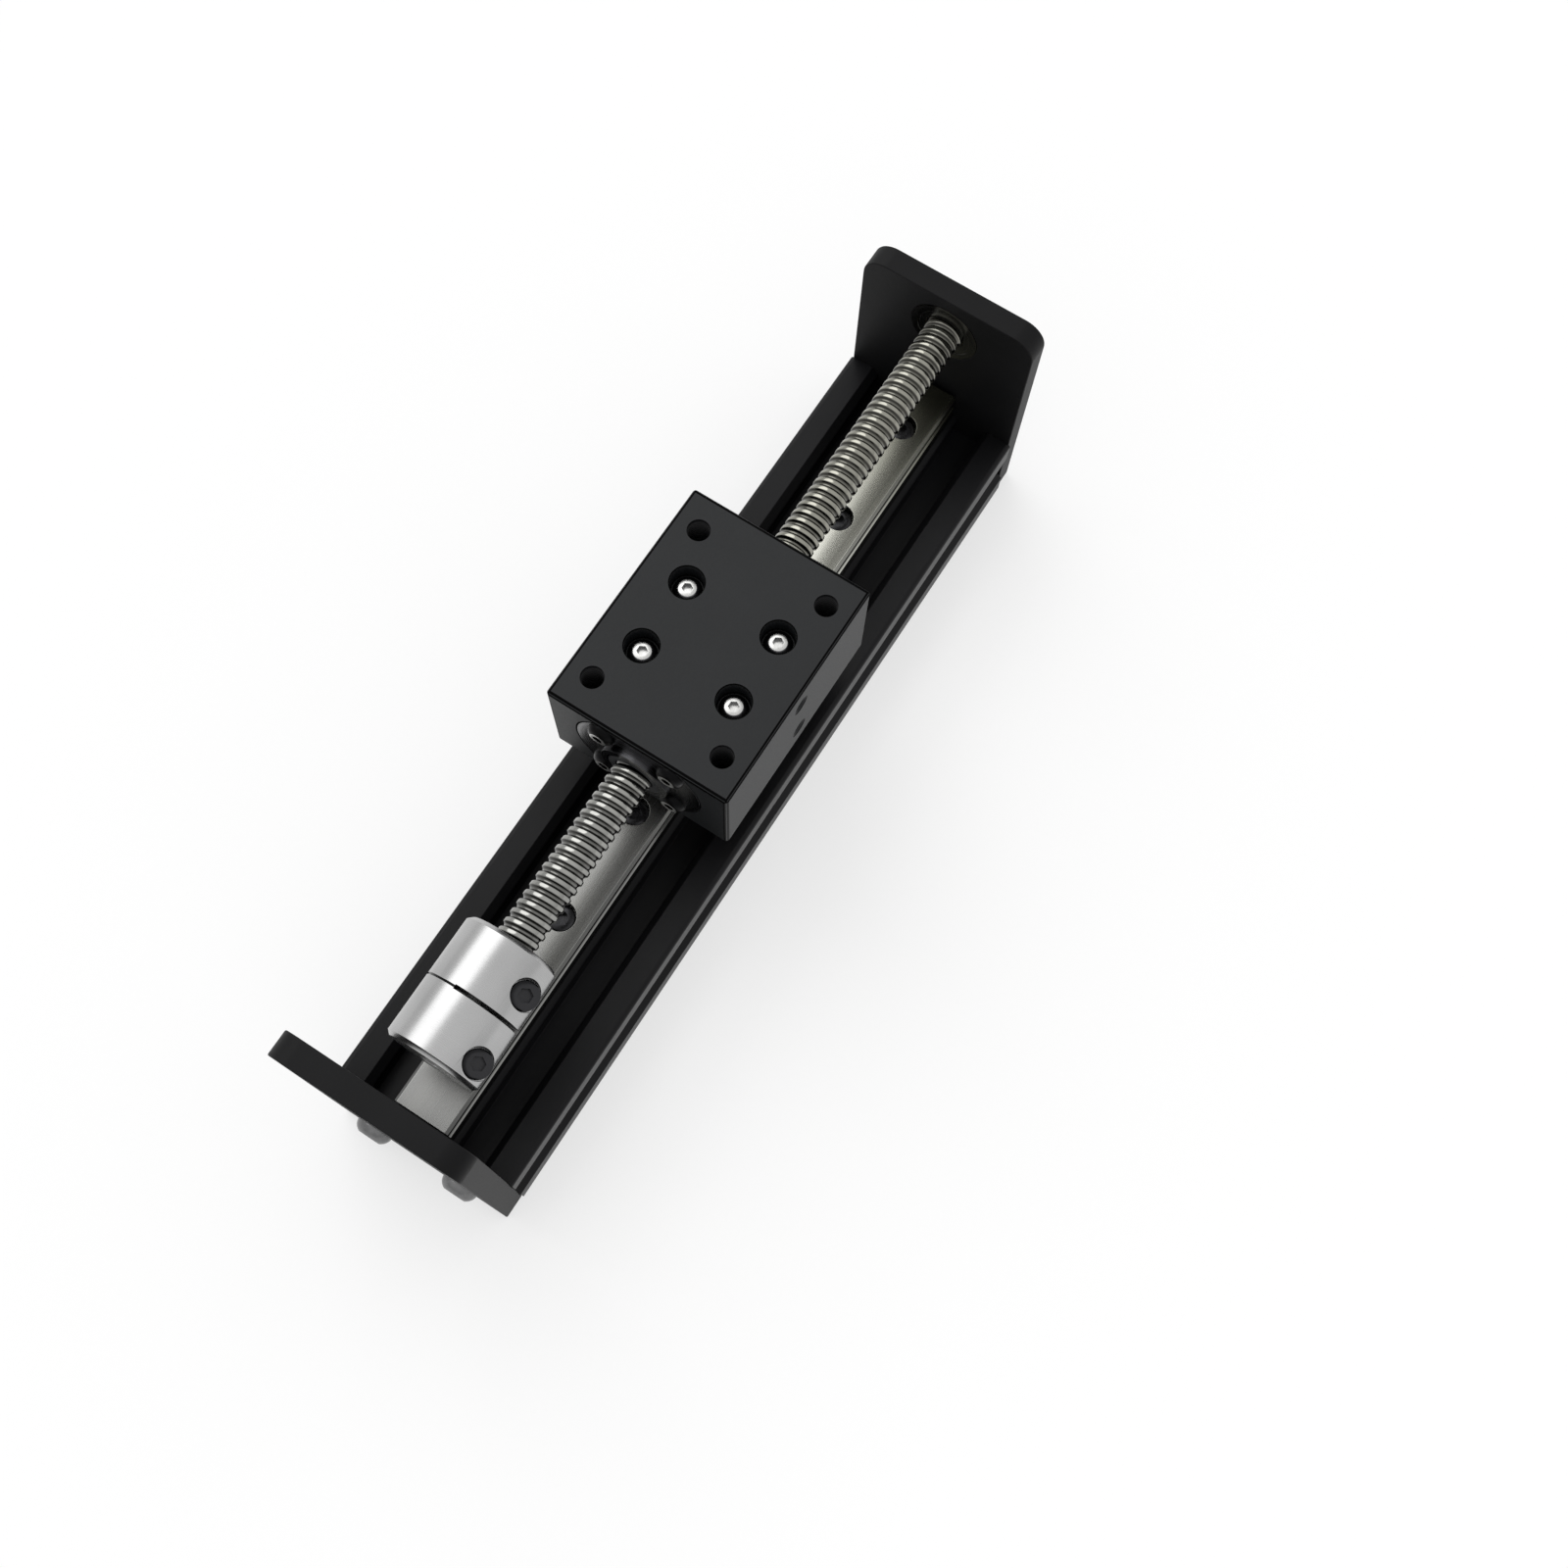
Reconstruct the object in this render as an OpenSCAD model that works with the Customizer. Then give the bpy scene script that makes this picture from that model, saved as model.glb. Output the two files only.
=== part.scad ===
// Ball screw linear module: a slotted base, a recirculating-ball guide, a ball screw
// with its clamp coupling and end bearing, and a tapped carriage.
// X runs along the travel, from the motor end to the bearing end. Z is up.
// The origin is the centre of the base's underside. All sizes are in millimetres.

/* [Base] */
// Length of the base extrusion
base_len = 184; // [160:1:400]
// Width of the base extrusion
base_w = 40; // [38:0.5:44]
// Height of the base extrusion
base_h = 20; // [19:0.5:24]
// Rounding of the extrusion's long edges
base_edge_r = 1; // [0.5:0.1:1.5]
// Distance between the two slots of a wide face
slot_pitch = 20; // [19.5:0.5:22]
// Width of a slot's mouth at the surface
slot_mouth = 9.2; // [8:0.1:9.6]
// Width of a slot's throat between its lips
slot_throat = 6.2; // [5.6:0.1:7]
// Thickness of the lips beside a throat
slot_lip = 1.8; // [1.6:0.1:2.2]
// Width of the nut space behind the lips
slot_inner = 11; // [10:0.1:11.4]
// Height of the upright walls of the nut space
slot_inner_h = 1.6; // [1:0.1:2]
// Width of a slot's floor
slot_floor = 5.8; // [5:0.1:6.4]
// Width of the hollow in the middle of the extrusion
hollow_w = 7; // [5:0.5:7.5]
// Height of that hollow
hollow_h = 9; // [6:0.5:9.5]

/* [End plates] */
// Width of both end plates
plate_w = 39; // [38:0.5:42]
// Thickness of both end plates
plate_t = 5; // [4:0.5:8]
// Radius of the upper corners of both end plates
plate_corner_r = 5; // [2:0.5:6]
// Height of the bearing plate above the screw's axis
bearing_plate_rise = 10.5; // [9.5:0.5:16]
// Side of the square motor flange
motor_frame = 42; // [40:0.5:43]
// Spacing of the motor's mounting screws, both ways
motor_hole_pitch = 31; // [30:0.5:32]
// Diameter of the clearance holes for the motor's screws
motor_hole_d = 3.4; // [3.2:0.1:3.6]
// Diameter of the register bore for the motor's centring boss
motor_register_d = 22.06; // [20:0.02:23]
// Diameter of the screws that hold an end plate
plate_screw_d = 4; // [3:0.5:4]
// Length of those screws under the head
plate_screw_len = 14; // [10:1:20]

/* [Linear guide] */
// Width of the rail
rail_w = 12; // [11.5:0.5:12.5]
// Height of the rail
rail_h = 8; // [7.5:0.5:9]
// Gap between each end of the rail and its end plate
rail_end_gap = 1; // [0.5:0.5:4]
// Spacing of the rail's screw holes
rail_hole_pitch = 25; // [20:1:30]
// First screw hole, from the rail's motor end
rail_first_hole = 20; // [6:1:22]
// Least distance of the last hole from the rail's far end
rail_last_margin = 6; // [5:1:12]
// Diameter of the rail's screws
rail_screw_d = 3; // [2.5:0.5:3]
// Depth of the counterbores in the rail
rail_cbore_depth = 4.5; // [4:0.1:4.7]
// Chamfer of the rail's upper edges
rail_chamfer = 0.6; // [0.2:0.1:0.8]
// Diameter of the guide's balls
guide_ball_d = 2.38; // [2:0.02:2.6]
// Height of the raceways above the rail's foot
raceway_h = 5; // [4.6:0.1:5.2]
// Width of the guide block
block_w = 27; // [26:0.5:28]
// Length of the guide block over its end seals
block_len = 34.7; // [34:0.1:46]
// Length of the guide block's steel body
block_steel_len = 21.7; // [20:0.1:24]
// Height of the guide block's top above the rail's foot
block_top = 13; // [12.5:0.5:15]
// Gap under the guide block
block_under = 3; // [2.5:0.1:3.6]
// Thickness of each end seal
seal_t = 1.2; // [0.8:0.1:2]

/* [Carriage] */
// Distance of the carriage's middle from the motor end of the base
carriage_at = 98.5; // [90:0.5:110]
// Length of the carriage along the travel
car_len = 49; // [46:0.5:54]
// Width of the carriage
car_w = 39; // [37:0.5:42]
// Thickness of the carriage
car_h = 24.5; // [24.5:0.5:30]
// Chamfer of the carriage's edges
car_chamfer = 0.5; // [0.2:0.1:1]
// Spacing of the outer tapped holes along the travel
load_pitch_x = 35; // [32:0.5:37]
// Spacing of the outer tapped holes across the travel
load_pitch_y = 28; // [27:0.5:30]
// Core diameter of the outer tapped holes
load_hole_d = 4.2; // [3.3:0.1:4.4]
// Depth of the outer tapped holes
load_hole_depth = 14; // [8:1:16]
// Spacing of the guide block's screws along the travel
block_pitch_x = 15; // [14:0.5:16]
// Spacing of the guide block's screws across the travel
block_pitch_y = 20; // [19.5:0.5:21]
// Diameter of the guide block's screws
block_screw_d = 3; // [2.5:0.5:3]
// Length of the guide block's screws under the head
block_screw_len = 25; // [24.5:0.5:25.5]
// Reach of those screws into the guide block
block_screw_reach = 4.5; // [4:0.1:5]
// Radial gap between those screws' heads and their counterbores
block_cbore_gap = 0.45; // [0.3:0.05:0.6]
// Spacing of the two tapped holes in the carriage's side
side_pitch = 12; // [10:0.5:14]
// Core diameter of the side holes
side_hole_d = 2.5; // [2:0.1:3.3]
// Depth of the side holes
side_hole_depth = 8; // [5:0.5:9]
// Offset of the side holes from the carriage's middle
side_hole_shift = 0.6; // [-1:0.1:1]

/* [Ball screw] */
// Height of the screw's axis above the base's top
axis_rise = 26.5; // [26:0.5:27]
// Outside diameter of the screw's thread
screw_d = 8; // [7.6:0.1:8.2]
// Lead of the thread
lead = 2; // [1:0.5:4]
// Depth of the thread's ball groove
groove_depth = 0.55; // [0.3:0.05:0.7]
// Width of the groove's mouth, as a part of the lead
groove_share = 0.62; // [0.4:0.02:0.7]
// Diameter of the journal in the end bearing
journal_d = 6; // [5:0.5:6.5]
// Length of the journal beyond the bearing
journal_tip = 1.6; // [1.2:0.1:2]
// Thickness of the retaining ring on the journal
ring_t = 0.7; // [0.5:0.1:0.9]
// Radial height of the retaining ring
ring_rise = 1.1; // [0.8:0.1:1.4]

/* [Ball nut] */
// Diameter of the nut's barrel
nut_d = 14; // [13:0.1:14.2]
// Length of the nut's barrel behind the flange
nut_barrel_len = 12; // [10:0.5:20]
// Diameter of the nut's flange
flange_d = 27; // [26:0.5:28]
// Distance across the flange's two flats
flange_flats = 20; // [19:0.1:20.2]
// Thickness of the flange
flange_t = 4; // [3:0.5:6]
// Diameter of the hub in front of the flange
hub_d = 14.5; // [13:0.1:14.8]
// Length of the hub in front of the flange
hub_len = 1.5; // [1:0.1:2.5]
// Pitch circle of the flange's screws
flange_pcd = 21; // [20.5:0.1:21.4]
// Diameter of the flange's screws
flange_screw_d = 3; // [2.5:0.5:3]
// Length of the flange's screws under the head
flange_screw_len = 10; // [8:0.5:12]
// Thickness of the wipers in the nut's ends
wiper_t = 1.2; // [0.8:0.1:1.4]
// Diameter of a wiper's seat
wiper_seat_d = 11; // [10.4:0.1:12]
// Diameter of the ball-return buttons
button_d = 3; // [2.4:0.1:3.4]

/* [Coupling] */
// Outside diameter of the coupling
coup_d = 19; // [18:0.5:20]
// Length of the coupling
coup_len = 25; // [24:0.5:30]
// Gap between the motor plate's inner face and the coupling
coup_gap = 9.2; // [4:0.1:12]
// Diameter of the bore for the motor's shaft
motor_shaft_d = 5; // [4:0.5:6]
// Width of the clamp slit along the coupling
clamp_slit = 1; // [0.6:0.1:1.4]
// Width of the cross slit between the two clamp halves
cross_slit = 0.8; // [0.5:0.1:1.2]
// Wall left uncut by the cross slit
cross_web = 5; // [3:0.1:5.4]
// Width of the turned groove that the cross slit follows
cross_groove = 0.4; // [0.3:0.1:0.5]
// Chamfer of the coupling's ends
coup_chamfer = 0.8; // [0.3:0.1:1]
// Turn of the coupling about its axis at rest
coup_turn = 15; // [0:1:90]
// Diameter of the clamp screws
clamp_screw_d = 3; // [2.5:0.5:3]
// Length of the clamp screws under the head
clamp_screw_len = 8; // [6:0.5:8]
// Distance of the clamp screws from the coupling's axis
clamp_offset = 6.6; // [6.4:0.1:6.8]
// Height of the clamp screws' seat above the axis
clamp_seat = 2.6; // [2:0.1:3]
// Distance of the motor's clamp screw from the coupling's motor end
clamp_inset_motor = 4.1; // [4:0.1:6]
// Distance of the other clamp screw from the coupling's other end
clamp_inset_screw = 6.7; // [4.5:0.1:7]
// Reach of the screw's end into the coupling
screw_in_coupling = 11.5; // [8:0.5:11.8]

/* [Bearing] */
// Outside diameter of the bearing
bearing_od = 15; // [14.6:0.1:16]
// Width of the bearing
bearing_w = 5; // [4:0.5:5]
// Thickness of the inner ring
inner_ring_t = 1.3; // [1:0.1:1.4]
// Thickness of the outer ring
outer_ring_t = 1.2; // [1:0.1:1.3]
// Diameter of the bearing's balls
bearing_ball_d = 2.5; // [2.3:0.1:2.7]
// Number of balls
bearing_balls_n = 7; // [5:1:7]
// Thickness of the shields
shield_t = 0.3; // [0.2:0.05:0.4]

/* [Fits] */
// Radial gap of a seated or clamped fit
fit_gap = 0.03; // [0.01:0.01:0.06]
// Radial gap between a ball and its raceway
run_gap = 0.05; // [0.03:0.01:0.08]
// Radial gap between a screw's shank and its tapped hole
thread_gap = 0.05; // [0.03:0.01:0.1]
// Radial gap between a screw's shank and its clearance hole
clear_gap = 0.2; // [0.1:0.05:0.3]
// Gap between the guide block and the rail
guide_gap = 0.5; // [0.4:0.05:0.6]
// Gap between a seal or a wiper and what it wipes
wipe_gap = 0.08; // [0.05:0.01:0.1]
// Gap round the nut in the carriage
nut_gap = 0.1; // [0.05:0.01:0.15]

/* [Hidden] */
$fn = 64;
eps = 0.01;
hex_fn = 6;

// Socket-head cap screw proportions, as shares of the thread's diameter.
cap_head_d = 1.83;
cap_head_h = 1.0;
cap_socket = 0.96;
cap_socket_depth = 0.55;
cbore_gap = 0.25;
// Button-head screw proportions.
button_head_d = 1.9;
button_head_h = 0.55;
button_socket = 0.72;

// Ends and heights.
x_near = -base_len / 2;
x_far = base_len / 2;
z_axis = base_h + axis_rise;
motor_plate_h = z_axis + motor_frame / 2;
bearing_plate_h = z_axis + bearing_plate_rise;
slot_over = 1;
slot_depth = slot_lip + slot_inner_h + (slot_inner - slot_floor) / 2;
plate_hole_r = plate_screw_d / 2 + clear_gap;

// Rail and its holes.
rail_len = base_len - 2 * rail_end_gap;
rail_x = x_near + rail_end_gap;
rail_holes = [for (x = [rail_first_hole : rail_hole_pitch : rail_len - rail_last_margin])
    rail_x + x];
rail_cbore_r = rail_screw_d * cap_head_d / 2 + cbore_gap;
rail_screw_gap = 1;
raceway_y = rail_w / 2 + guide_gap / 2;
raceway_z = base_h + raceway_h;
raceway_r = guide_ball_d / 2 + run_gap;

// Carriage and guide block.
x_car = x_near + carriage_at;
z_block = base_h + block_top;
z_block_foot = base_h + block_under;
z_car_top = z_block + car_h;
x_car_face = x_car - car_len / 2;
cap_len = (block_len - block_steel_len) / 2 - seal_t;
channel_w = rail_w + 2 * guide_gap;
channel_h = rail_h + guide_gap - block_under;
guide_balls_n = floor(block_steel_len / (guide_ball_d + 2 * run_gap));
guide_ball_step = guide_ball_d + 2 * run_gap;
block_hole_tip = 0.8;
cap_inset = 0.5;
cap_screw_edge = 3.2;
cap_screw_drop = 3.6;
cap_screw_grip = (block_steel_len - block_pitch_x - block_screw_d) / 2 - clear_gap;
cap_screw_y = block_w / 2 - cap_screw_edge;
cap_screw_r = 0.8;
cap_screw_z = z_block - cap_screw_drop;
block_cbore_r = block_screw_d * button_head_d / 2 + block_cbore_gap;
z_block_screw_seat = z_block - block_screw_reach + block_screw_len;

// Ball screw, from the coupling to the bearing.
x_coup = x_near + coup_gap;
x_coup_end = x_coup + coup_len;
x_coup_mid = (x_coup + x_coup_end) / 2;
x_screw = x_coup_end - screw_in_coupling;
x_thread_end = x_far + plate_t - bearing_w;
x_bearing = x_thread_end;
x_journal_end = x_bearing + bearing_w + journal_tip;
thread_n = floor((x_thread_end - x_screw - lead) / lead);
groove_w = lead * groove_share;
groove_floor = groove_w * 0.36;
screw_r = screw_d / 2;

// Bearing raceways.
bearing_r = bearing_od / 2;
inner_ring_r = journal_d / 2 + inner_ring_t;
outer_ring_r = bearing_r - outer_ring_t;
bearing_track_r = (inner_ring_r + outer_ring_r) / 2;
bearing_groove_r = bearing_ball_d / 2 + run_gap;
shield_gap = 0.15;

// ---- helpers ---------------------------------------------------------------

// Extrudes a profile drawn in (Y, Z) from x to x + len.
module along_x(x, len) {
    translate([x, 0, 0]) rotate([90, 0, 90]) linear_extrude(len) children();
}

// A cylinder along X that starts at x.
module rod_x(x, len, r) {
    translate([x, 0, 0]) rotate([0, 90, 0]) cylinder(h = len, r = r);
}

// A revolved profile, drawn as (radius, distance along X), on the screw's axis.
module revolved(points) {
    translate([0, 0, z_axis]) rotate([0, 90, 0]) rotate_extrude() polygon(points);
}

// A flat ring on the screw's axis.
module ring(x, len, r_in, r_out) {
    translate([0, 0, z_axis]) difference() {
        rod_x(x, len, r_out);
        rod_x(x - eps, len + 2 * eps, r_in);
    }
}

// A rectangle with rounded corners, centred.
module rounded(w, h, r) {
    square([w - 2 * r, h], center = true);
    square([w, h - 2 * r], center = true);
    for (a = [-1, 1], b = [-1, 1])
        translate([a * (w / 2 - r), b * (h / 2 - r)]) circle(r);
}

// A rectangle with chamfered corners, centred.
module chamfered(w, h, c) {
    polygon([[-w / 2 + c, -h / 2], [w / 2 - c, -h / 2], [w / 2, -h / 2 + c],
        [w / 2, h / 2 - c], [w / 2 - c, h / 2], [-w / 2 + c, h / 2],
        [-w / 2, h / 2 - c], [-w / 2, -h / 2 + c]]);
}

// A socket-head cap screw that hangs down from its seat at the origin.
module cap_screw(d, len) {
    difference() {
        union() {
            translate([0, 0, -len]) cylinder(h = len, r = d / 2 - thread_gap);
            cylinder(h = d * cap_head_h, r = d * cap_head_d / 2);
        }
        translate([0, 0, d * (cap_head_h - cap_socket_depth)])
            cylinder(h = d, r = d * cap_socket / 2, $fn = hex_fn);
    }
}

// A button-head screw that hangs down from its seat at the origin.
module button_screw(d, len) {
    h = d * button_head_h;
    r = d * button_head_d / 2;
    difference() {
        union() {
            translate([0, 0, -len]) cylinder(h = len, r = d / 2 - thread_gap);
            rotate_extrude() intersection() {
                translate([0, h - (r * r + h * h) / (2 * h)])
                    circle((r * r + h * h) / (2 * h), $fn = 96);
                square([r, h]);
            }
        }
        translate([0, 0, h / 3]) cylinder(h = h, r = d * button_socket / 2, $fn = hex_fn);
    }
}

// Children at both slots' middles, in both end faces of the base.
module at_plate_screws(x, turn) {
    for (s = [-1, 1])
        translate([x, s * slot_pitch / 2, base_h / 2]) rotate([0, turn, 0]) children();
}

// Children at the four screws of the guide block.
module at_block_screws(z) {
    for (a = [-1, 1], b = [-1, 1])
        translate([x_car + a * block_pitch_x / 2, b * block_pitch_y / 2, z]) children();
}

// Children at the four screws of the nut's flange, with Z pointing away from the carriage.
module at_flange_screws() {
    for (a = [45 : 90 : 315])
        translate([x_car_face, flange_pcd / 2 * cos(a), z_axis + flange_pcd / 2 * sin(a)])
            rotate([0, -90, 0]) children();
}

// Children at the coupling's two clamp screws.
module at_clamp_screws() {
    translate([0, 0, z_axis]) rotate([coup_turn, 0, 0])
        for (x = [x_coup + clamp_inset_motor, x_coup_end - clamp_inset_screw])
            translate([x, -clamp_offset, clamp_seat]) children();
}

// ---- base ------------------------------------------------------------------

// One T-slot with bevelled lips, cut down from the line y = 0.
module slot_profile() {
    bevel = (slot_mouth - slot_throat) / 2;
    half = [[slot_mouth / 2 + slot_over, slot_over], [slot_throat / 2, -bevel],
        [slot_throat / 2, -slot_lip], [slot_inner / 2, -slot_lip],
        [slot_inner / 2, -slot_lip - slot_inner_h],
        [slot_floor / 2, -slot_depth]];
    polygon(concat(half, [for (i = [len(half) - 1 : -1 : 0]) [-half[i][0], half[i][1]]]));
}

module base_profile() {
    difference() {
        translate([0, base_h / 2]) rounded(base_w, base_h, base_edge_r);
        for (s = [-1, 1]) {
            translate([s * slot_pitch / 2, base_h]) slot_profile();
            translate([s * slot_pitch / 2, 0]) rotate(180) slot_profile();
            translate([s * base_w / 2, base_h / 2]) rotate(-90 * s) slot_profile();
            translate([s * slot_pitch / 2, base_h / 2])
                circle(plate_screw_d / 2 + thread_gap / 2);
        }
        translate([0, base_h / 2]) chamfered(hollow_w, hollow_h, hollow_w / 6);
    }
}

module base_extrusion() {
    color("#1d1e20") difference() {
        along_x(x_near, base_len) base_profile();
        for (x = rail_holes)
            translate([x, 0, base_h / 2])
                cylinder(h = base_h, r = rail_screw_d / 2 + thread_gap / 2);
    }
}

// ---- guide rail ------------------------------------------------------------

module rail_profile() {
    difference() {
        polygon([[-rail_w / 2, 0], [rail_w / 2, 0], [rail_w / 2, rail_h - rail_chamfer],
            [rail_w / 2 - rail_chamfer, rail_h], [-rail_w / 2 + rail_chamfer, rail_h],
            [-rail_w / 2, rail_h - rail_chamfer]]);
        for (s = [-1, 1]) translate([s * raceway_y, raceway_h]) circle(raceway_r);
    }
}

module guide_rail() {
    color("#b9babb") difference() {
        along_x(rail_x, rail_len) translate([0, base_h]) rail_profile();
        for (x = rail_holes) translate([x, 0, base_h]) {
            translate([0, 0, -eps])
                cylinder(h = rail_h, r = rail_screw_d / 2 + clear_gap);
            translate([0, 0, rail_h - rail_cbore_depth])
                cylinder(h = rail_h, r = rail_cbore_r);
        }
    }
}

module rail_screws() {
    rail_screw_len = rail_h - rail_cbore_depth + (base_h - hollow_h) / 2 - rail_screw_gap;
    color("#2b2b2d") for (x = rail_holes)
        translate([x, 0, base_h + rail_h - rail_cbore_depth])
            cap_screw(rail_screw_d, rail_screw_len);
}

// ---- end plates ------------------------------------------------------------

// An end plate's outline with rounded upper corners, standing on z = 0.
module plate_outline(h) {
    translate([-plate_w / 2, 0]) square([plate_w, h - plate_corner_r]);
    translate([-plate_w / 2 + plate_corner_r, 0]) square([plate_w - 2 * plate_corner_r, h]);
    for (s = [-1, 1])
        translate([s * (plate_w / 2 - plate_corner_r), h - plate_corner_r])
            circle(plate_corner_r);
}

module plate_fixing_holes() {
    for (s = [-1, 1]) translate([s * slot_pitch / 2, base_h / 2]) circle(plate_hole_r);
}

module motor_plate() {
    color("#262728") along_x(x_near - plate_t, plate_t) difference() {
        plate_outline(motor_plate_h);
        plate_fixing_holes();
        translate([0, z_axis]) circle(motor_register_d / 2);
        for (a = [-1, 1], b = [-1, 1])
            translate([a * motor_hole_pitch / 2, z_axis + b * motor_hole_pitch / 2])
                circle(motor_hole_d / 2);
    }
}

module motor_plate_screws() {
    color("silver") at_plate_screws(x_near - plate_t, -90)
        button_screw(plate_screw_d, plate_screw_len);
}

module bearing_plate() {
    color("#262728") difference() {
        along_x(x_far, plate_t) difference() {
            plate_outline(bearing_plate_h);
            plate_fixing_holes();
            translate([0, z_axis]) circle(inner_ring_r + shield_gap);
        }
        translate([0, 0, z_axis]) rod_x(x_bearing, bearing_w + plate_t, bearing_r + fit_gap);
    }
}

module bearing_plate_screws() {
    color("silver") at_plate_screws(x_far + plate_t, 90)
        button_screw(plate_screw_d, plate_screw_len);
}

// ---- end bearing -----------------------------------------------------------

// The torus that the balls sweep, in the middle of the bearing.
module ball_track() {
    translate([x_bearing + bearing_w / 2, 0, z_axis]) rotate([0, 90, 0])
        rotate_extrude() translate([bearing_track_r, 0]) circle(bearing_groove_r);
}

module bearing_outer_ring() {
    color("#c3c4c6") difference() {
        ring(x_bearing, bearing_w, outer_ring_r, bearing_r);
        ball_track();
    }
}

module bearing_inner_ring() {
    color("#c3c4c6") difference() {
        ring(x_bearing, bearing_w, journal_d / 2 + fit_gap, inner_ring_r);
        ball_track();
    }
}

module bearing_shields() {
    color("#a9aaac") for (x = [x_bearing + shield_gap,
            x_bearing + bearing_w - shield_gap - shield_t])
        ring(x, shield_t, inner_ring_r + shield_gap, outer_ring_r);
}

module at_bearing_balls() {
    for (i = [0 : bearing_balls_n - 1])
        translate([x_bearing + bearing_w / 2, 0, z_axis])
            rotate([i * 360 / bearing_balls_n, 0, 0]) translate([0, 0, bearing_track_r])
                children();
}

module bearing_cage() {
    cage_w = bearing_ball_d + 4 * run_gap + 0.6;
    color("#8d7440") difference() {
        ring(x_bearing + (bearing_w - cage_w) / 2, cage_w,
            bearing_track_r - 0.25, bearing_track_r + 0.25);
        at_bearing_balls() sphere(bearing_groove_r);
    }
}

module bearing_balls() {
    color("#d8d9da") at_bearing_balls() sphere(bearing_ball_d / 2);
}

// ---- ball screw ------------------------------------------------------------

// Each turn of the ball groove is one ring here: crest, flank, floor, flank.
function thread_turn(x) = [
    [screw_r, x],
    [screw_r - groove_depth, x + (groove_w - groove_floor) / 2],
    [screw_r - groove_depth, x + (groove_w + groove_floor) / 2],
    [screw_r, x + groove_w]];

module ball_screw() {
    chamfer = 0.4;
    turns = [for (i = [0 : thread_n - 1]) each thread_turn(x_screw + lead * (i + 0.5))];
    color("#c9cacc") revolved(concat(
        [[0, x_screw], [screw_r - chamfer, x_screw], [screw_r, x_screw + chamfer]],
        turns,
        [[screw_r, x_thread_end - chamfer], [screw_r - chamfer, x_thread_end],
            [journal_d / 2, x_thread_end]],
        [[journal_d / 2, x_bearing + bearing_w],
            [journal_d / 2 - ring_rise / 3, x_bearing + bearing_w],
            [journal_d / 2 - ring_rise / 3, x_bearing + bearing_w + ring_t],
            [journal_d / 2, x_bearing + bearing_w + ring_t],
            [journal_d / 2, x_journal_end - chamfer],
            [journal_d / 2 - chamfer, x_journal_end], [0, x_journal_end]]));
}

module retaining_ring() {
    r = journal_d / 2 - ring_rise / 3;
    x = x_bearing + bearing_w;
    color("#3a3b3d") difference() {
        ring(x, ring_t, r, r + ring_rise);
        translate([x - eps, -journal_d / 4, z_axis])
            cube([ring_t + 2 * eps, journal_d / 2, journal_d]);
    }
}

// ---- coupling --------------------------------------------------------------

// The blank is turned, with a groove round its middle for the cross slit.
module coupling_blank() {
    r = coup_d / 2;
    groove = cross_groove / 2;
    revolved([[0, x_coup], [r - coup_chamfer, x_coup], [r, x_coup + coup_chamfer],
        [r, x_coup_mid - groove], [r - groove, x_coup_mid - groove],
        [r - groove, x_coup_mid + groove], [r, x_coup_mid + groove],
        [r, x_coup_end - coup_chamfer], [r - coup_chamfer, x_coup_end], [0, x_coup_end]]);
}

module coupling() {
    head_r = clamp_screw_d * cap_head_d / 2 + cbore_gap;
    color("#cfd0d1") difference() {
        coupling_blank();
        translate([0, 0, z_axis]) {
            rod_x(x_coup - eps, coup_len / 2 + 2 * eps, motor_shaft_d / 2 + fit_gap / 3);
            rod_x(x_coup_mid, coup_len / 2 + eps, screw_r + fit_gap);
            rotate([coup_turn, 0, 0]) {
                translate([x_coup - eps, -coup_d, -clamp_slit / 2])
                    cube([coup_len + 2 * eps, coup_d, clamp_slit]);
                translate([x_coup_mid - cross_slit / 2, -coup_d / 2 - cross_web, -coup_d / 2])
                    cube([cross_slit, coup_d, coup_d]);
            }
        }
        at_clamp_screws() {
            cylinder(h = coup_d, r = head_r);
            translate([0, 0, -clamp_seat]) cylinder(h = coup_d,
                r = clamp_screw_d / 2 + clear_gap);
            translate([0, 0, -clamp_seat - coup_d]) cylinder(h = coup_d + eps,
                r = clamp_screw_d / 2);
        }
    }
}

module coupling_screws() {
    color("#232325") at_clamp_screws() cap_screw(clamp_screw_d, clamp_screw_len);
}

// ---- carriage --------------------------------------------------------------

module carriage_blank() {
    intersection() {
        along_x(x_car_face, car_len)
            translate([0, z_block + car_h / 2]) chamfered(car_w, car_h, car_chamfer);
        translate([x_car, 0, z_block]) linear_extrude(car_h)
            chamfered(car_len, car_w, car_chamfer);
        translate([x_car, car_w / 2, z_block + car_h / 2]) rotate([90, 0, 0])
            linear_extrude(car_w) chamfered(car_len, car_h, car_chamfer);
    }
}

// The flange's outline: a disc with two flats, grown by a gap.
module flange_outline(gap) {
    intersection() {
        circle(flange_d / 2 + gap);
        square([flange_d + 4 * gap, flange_flats + 2 * gap], center = true);
    }
}

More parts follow.
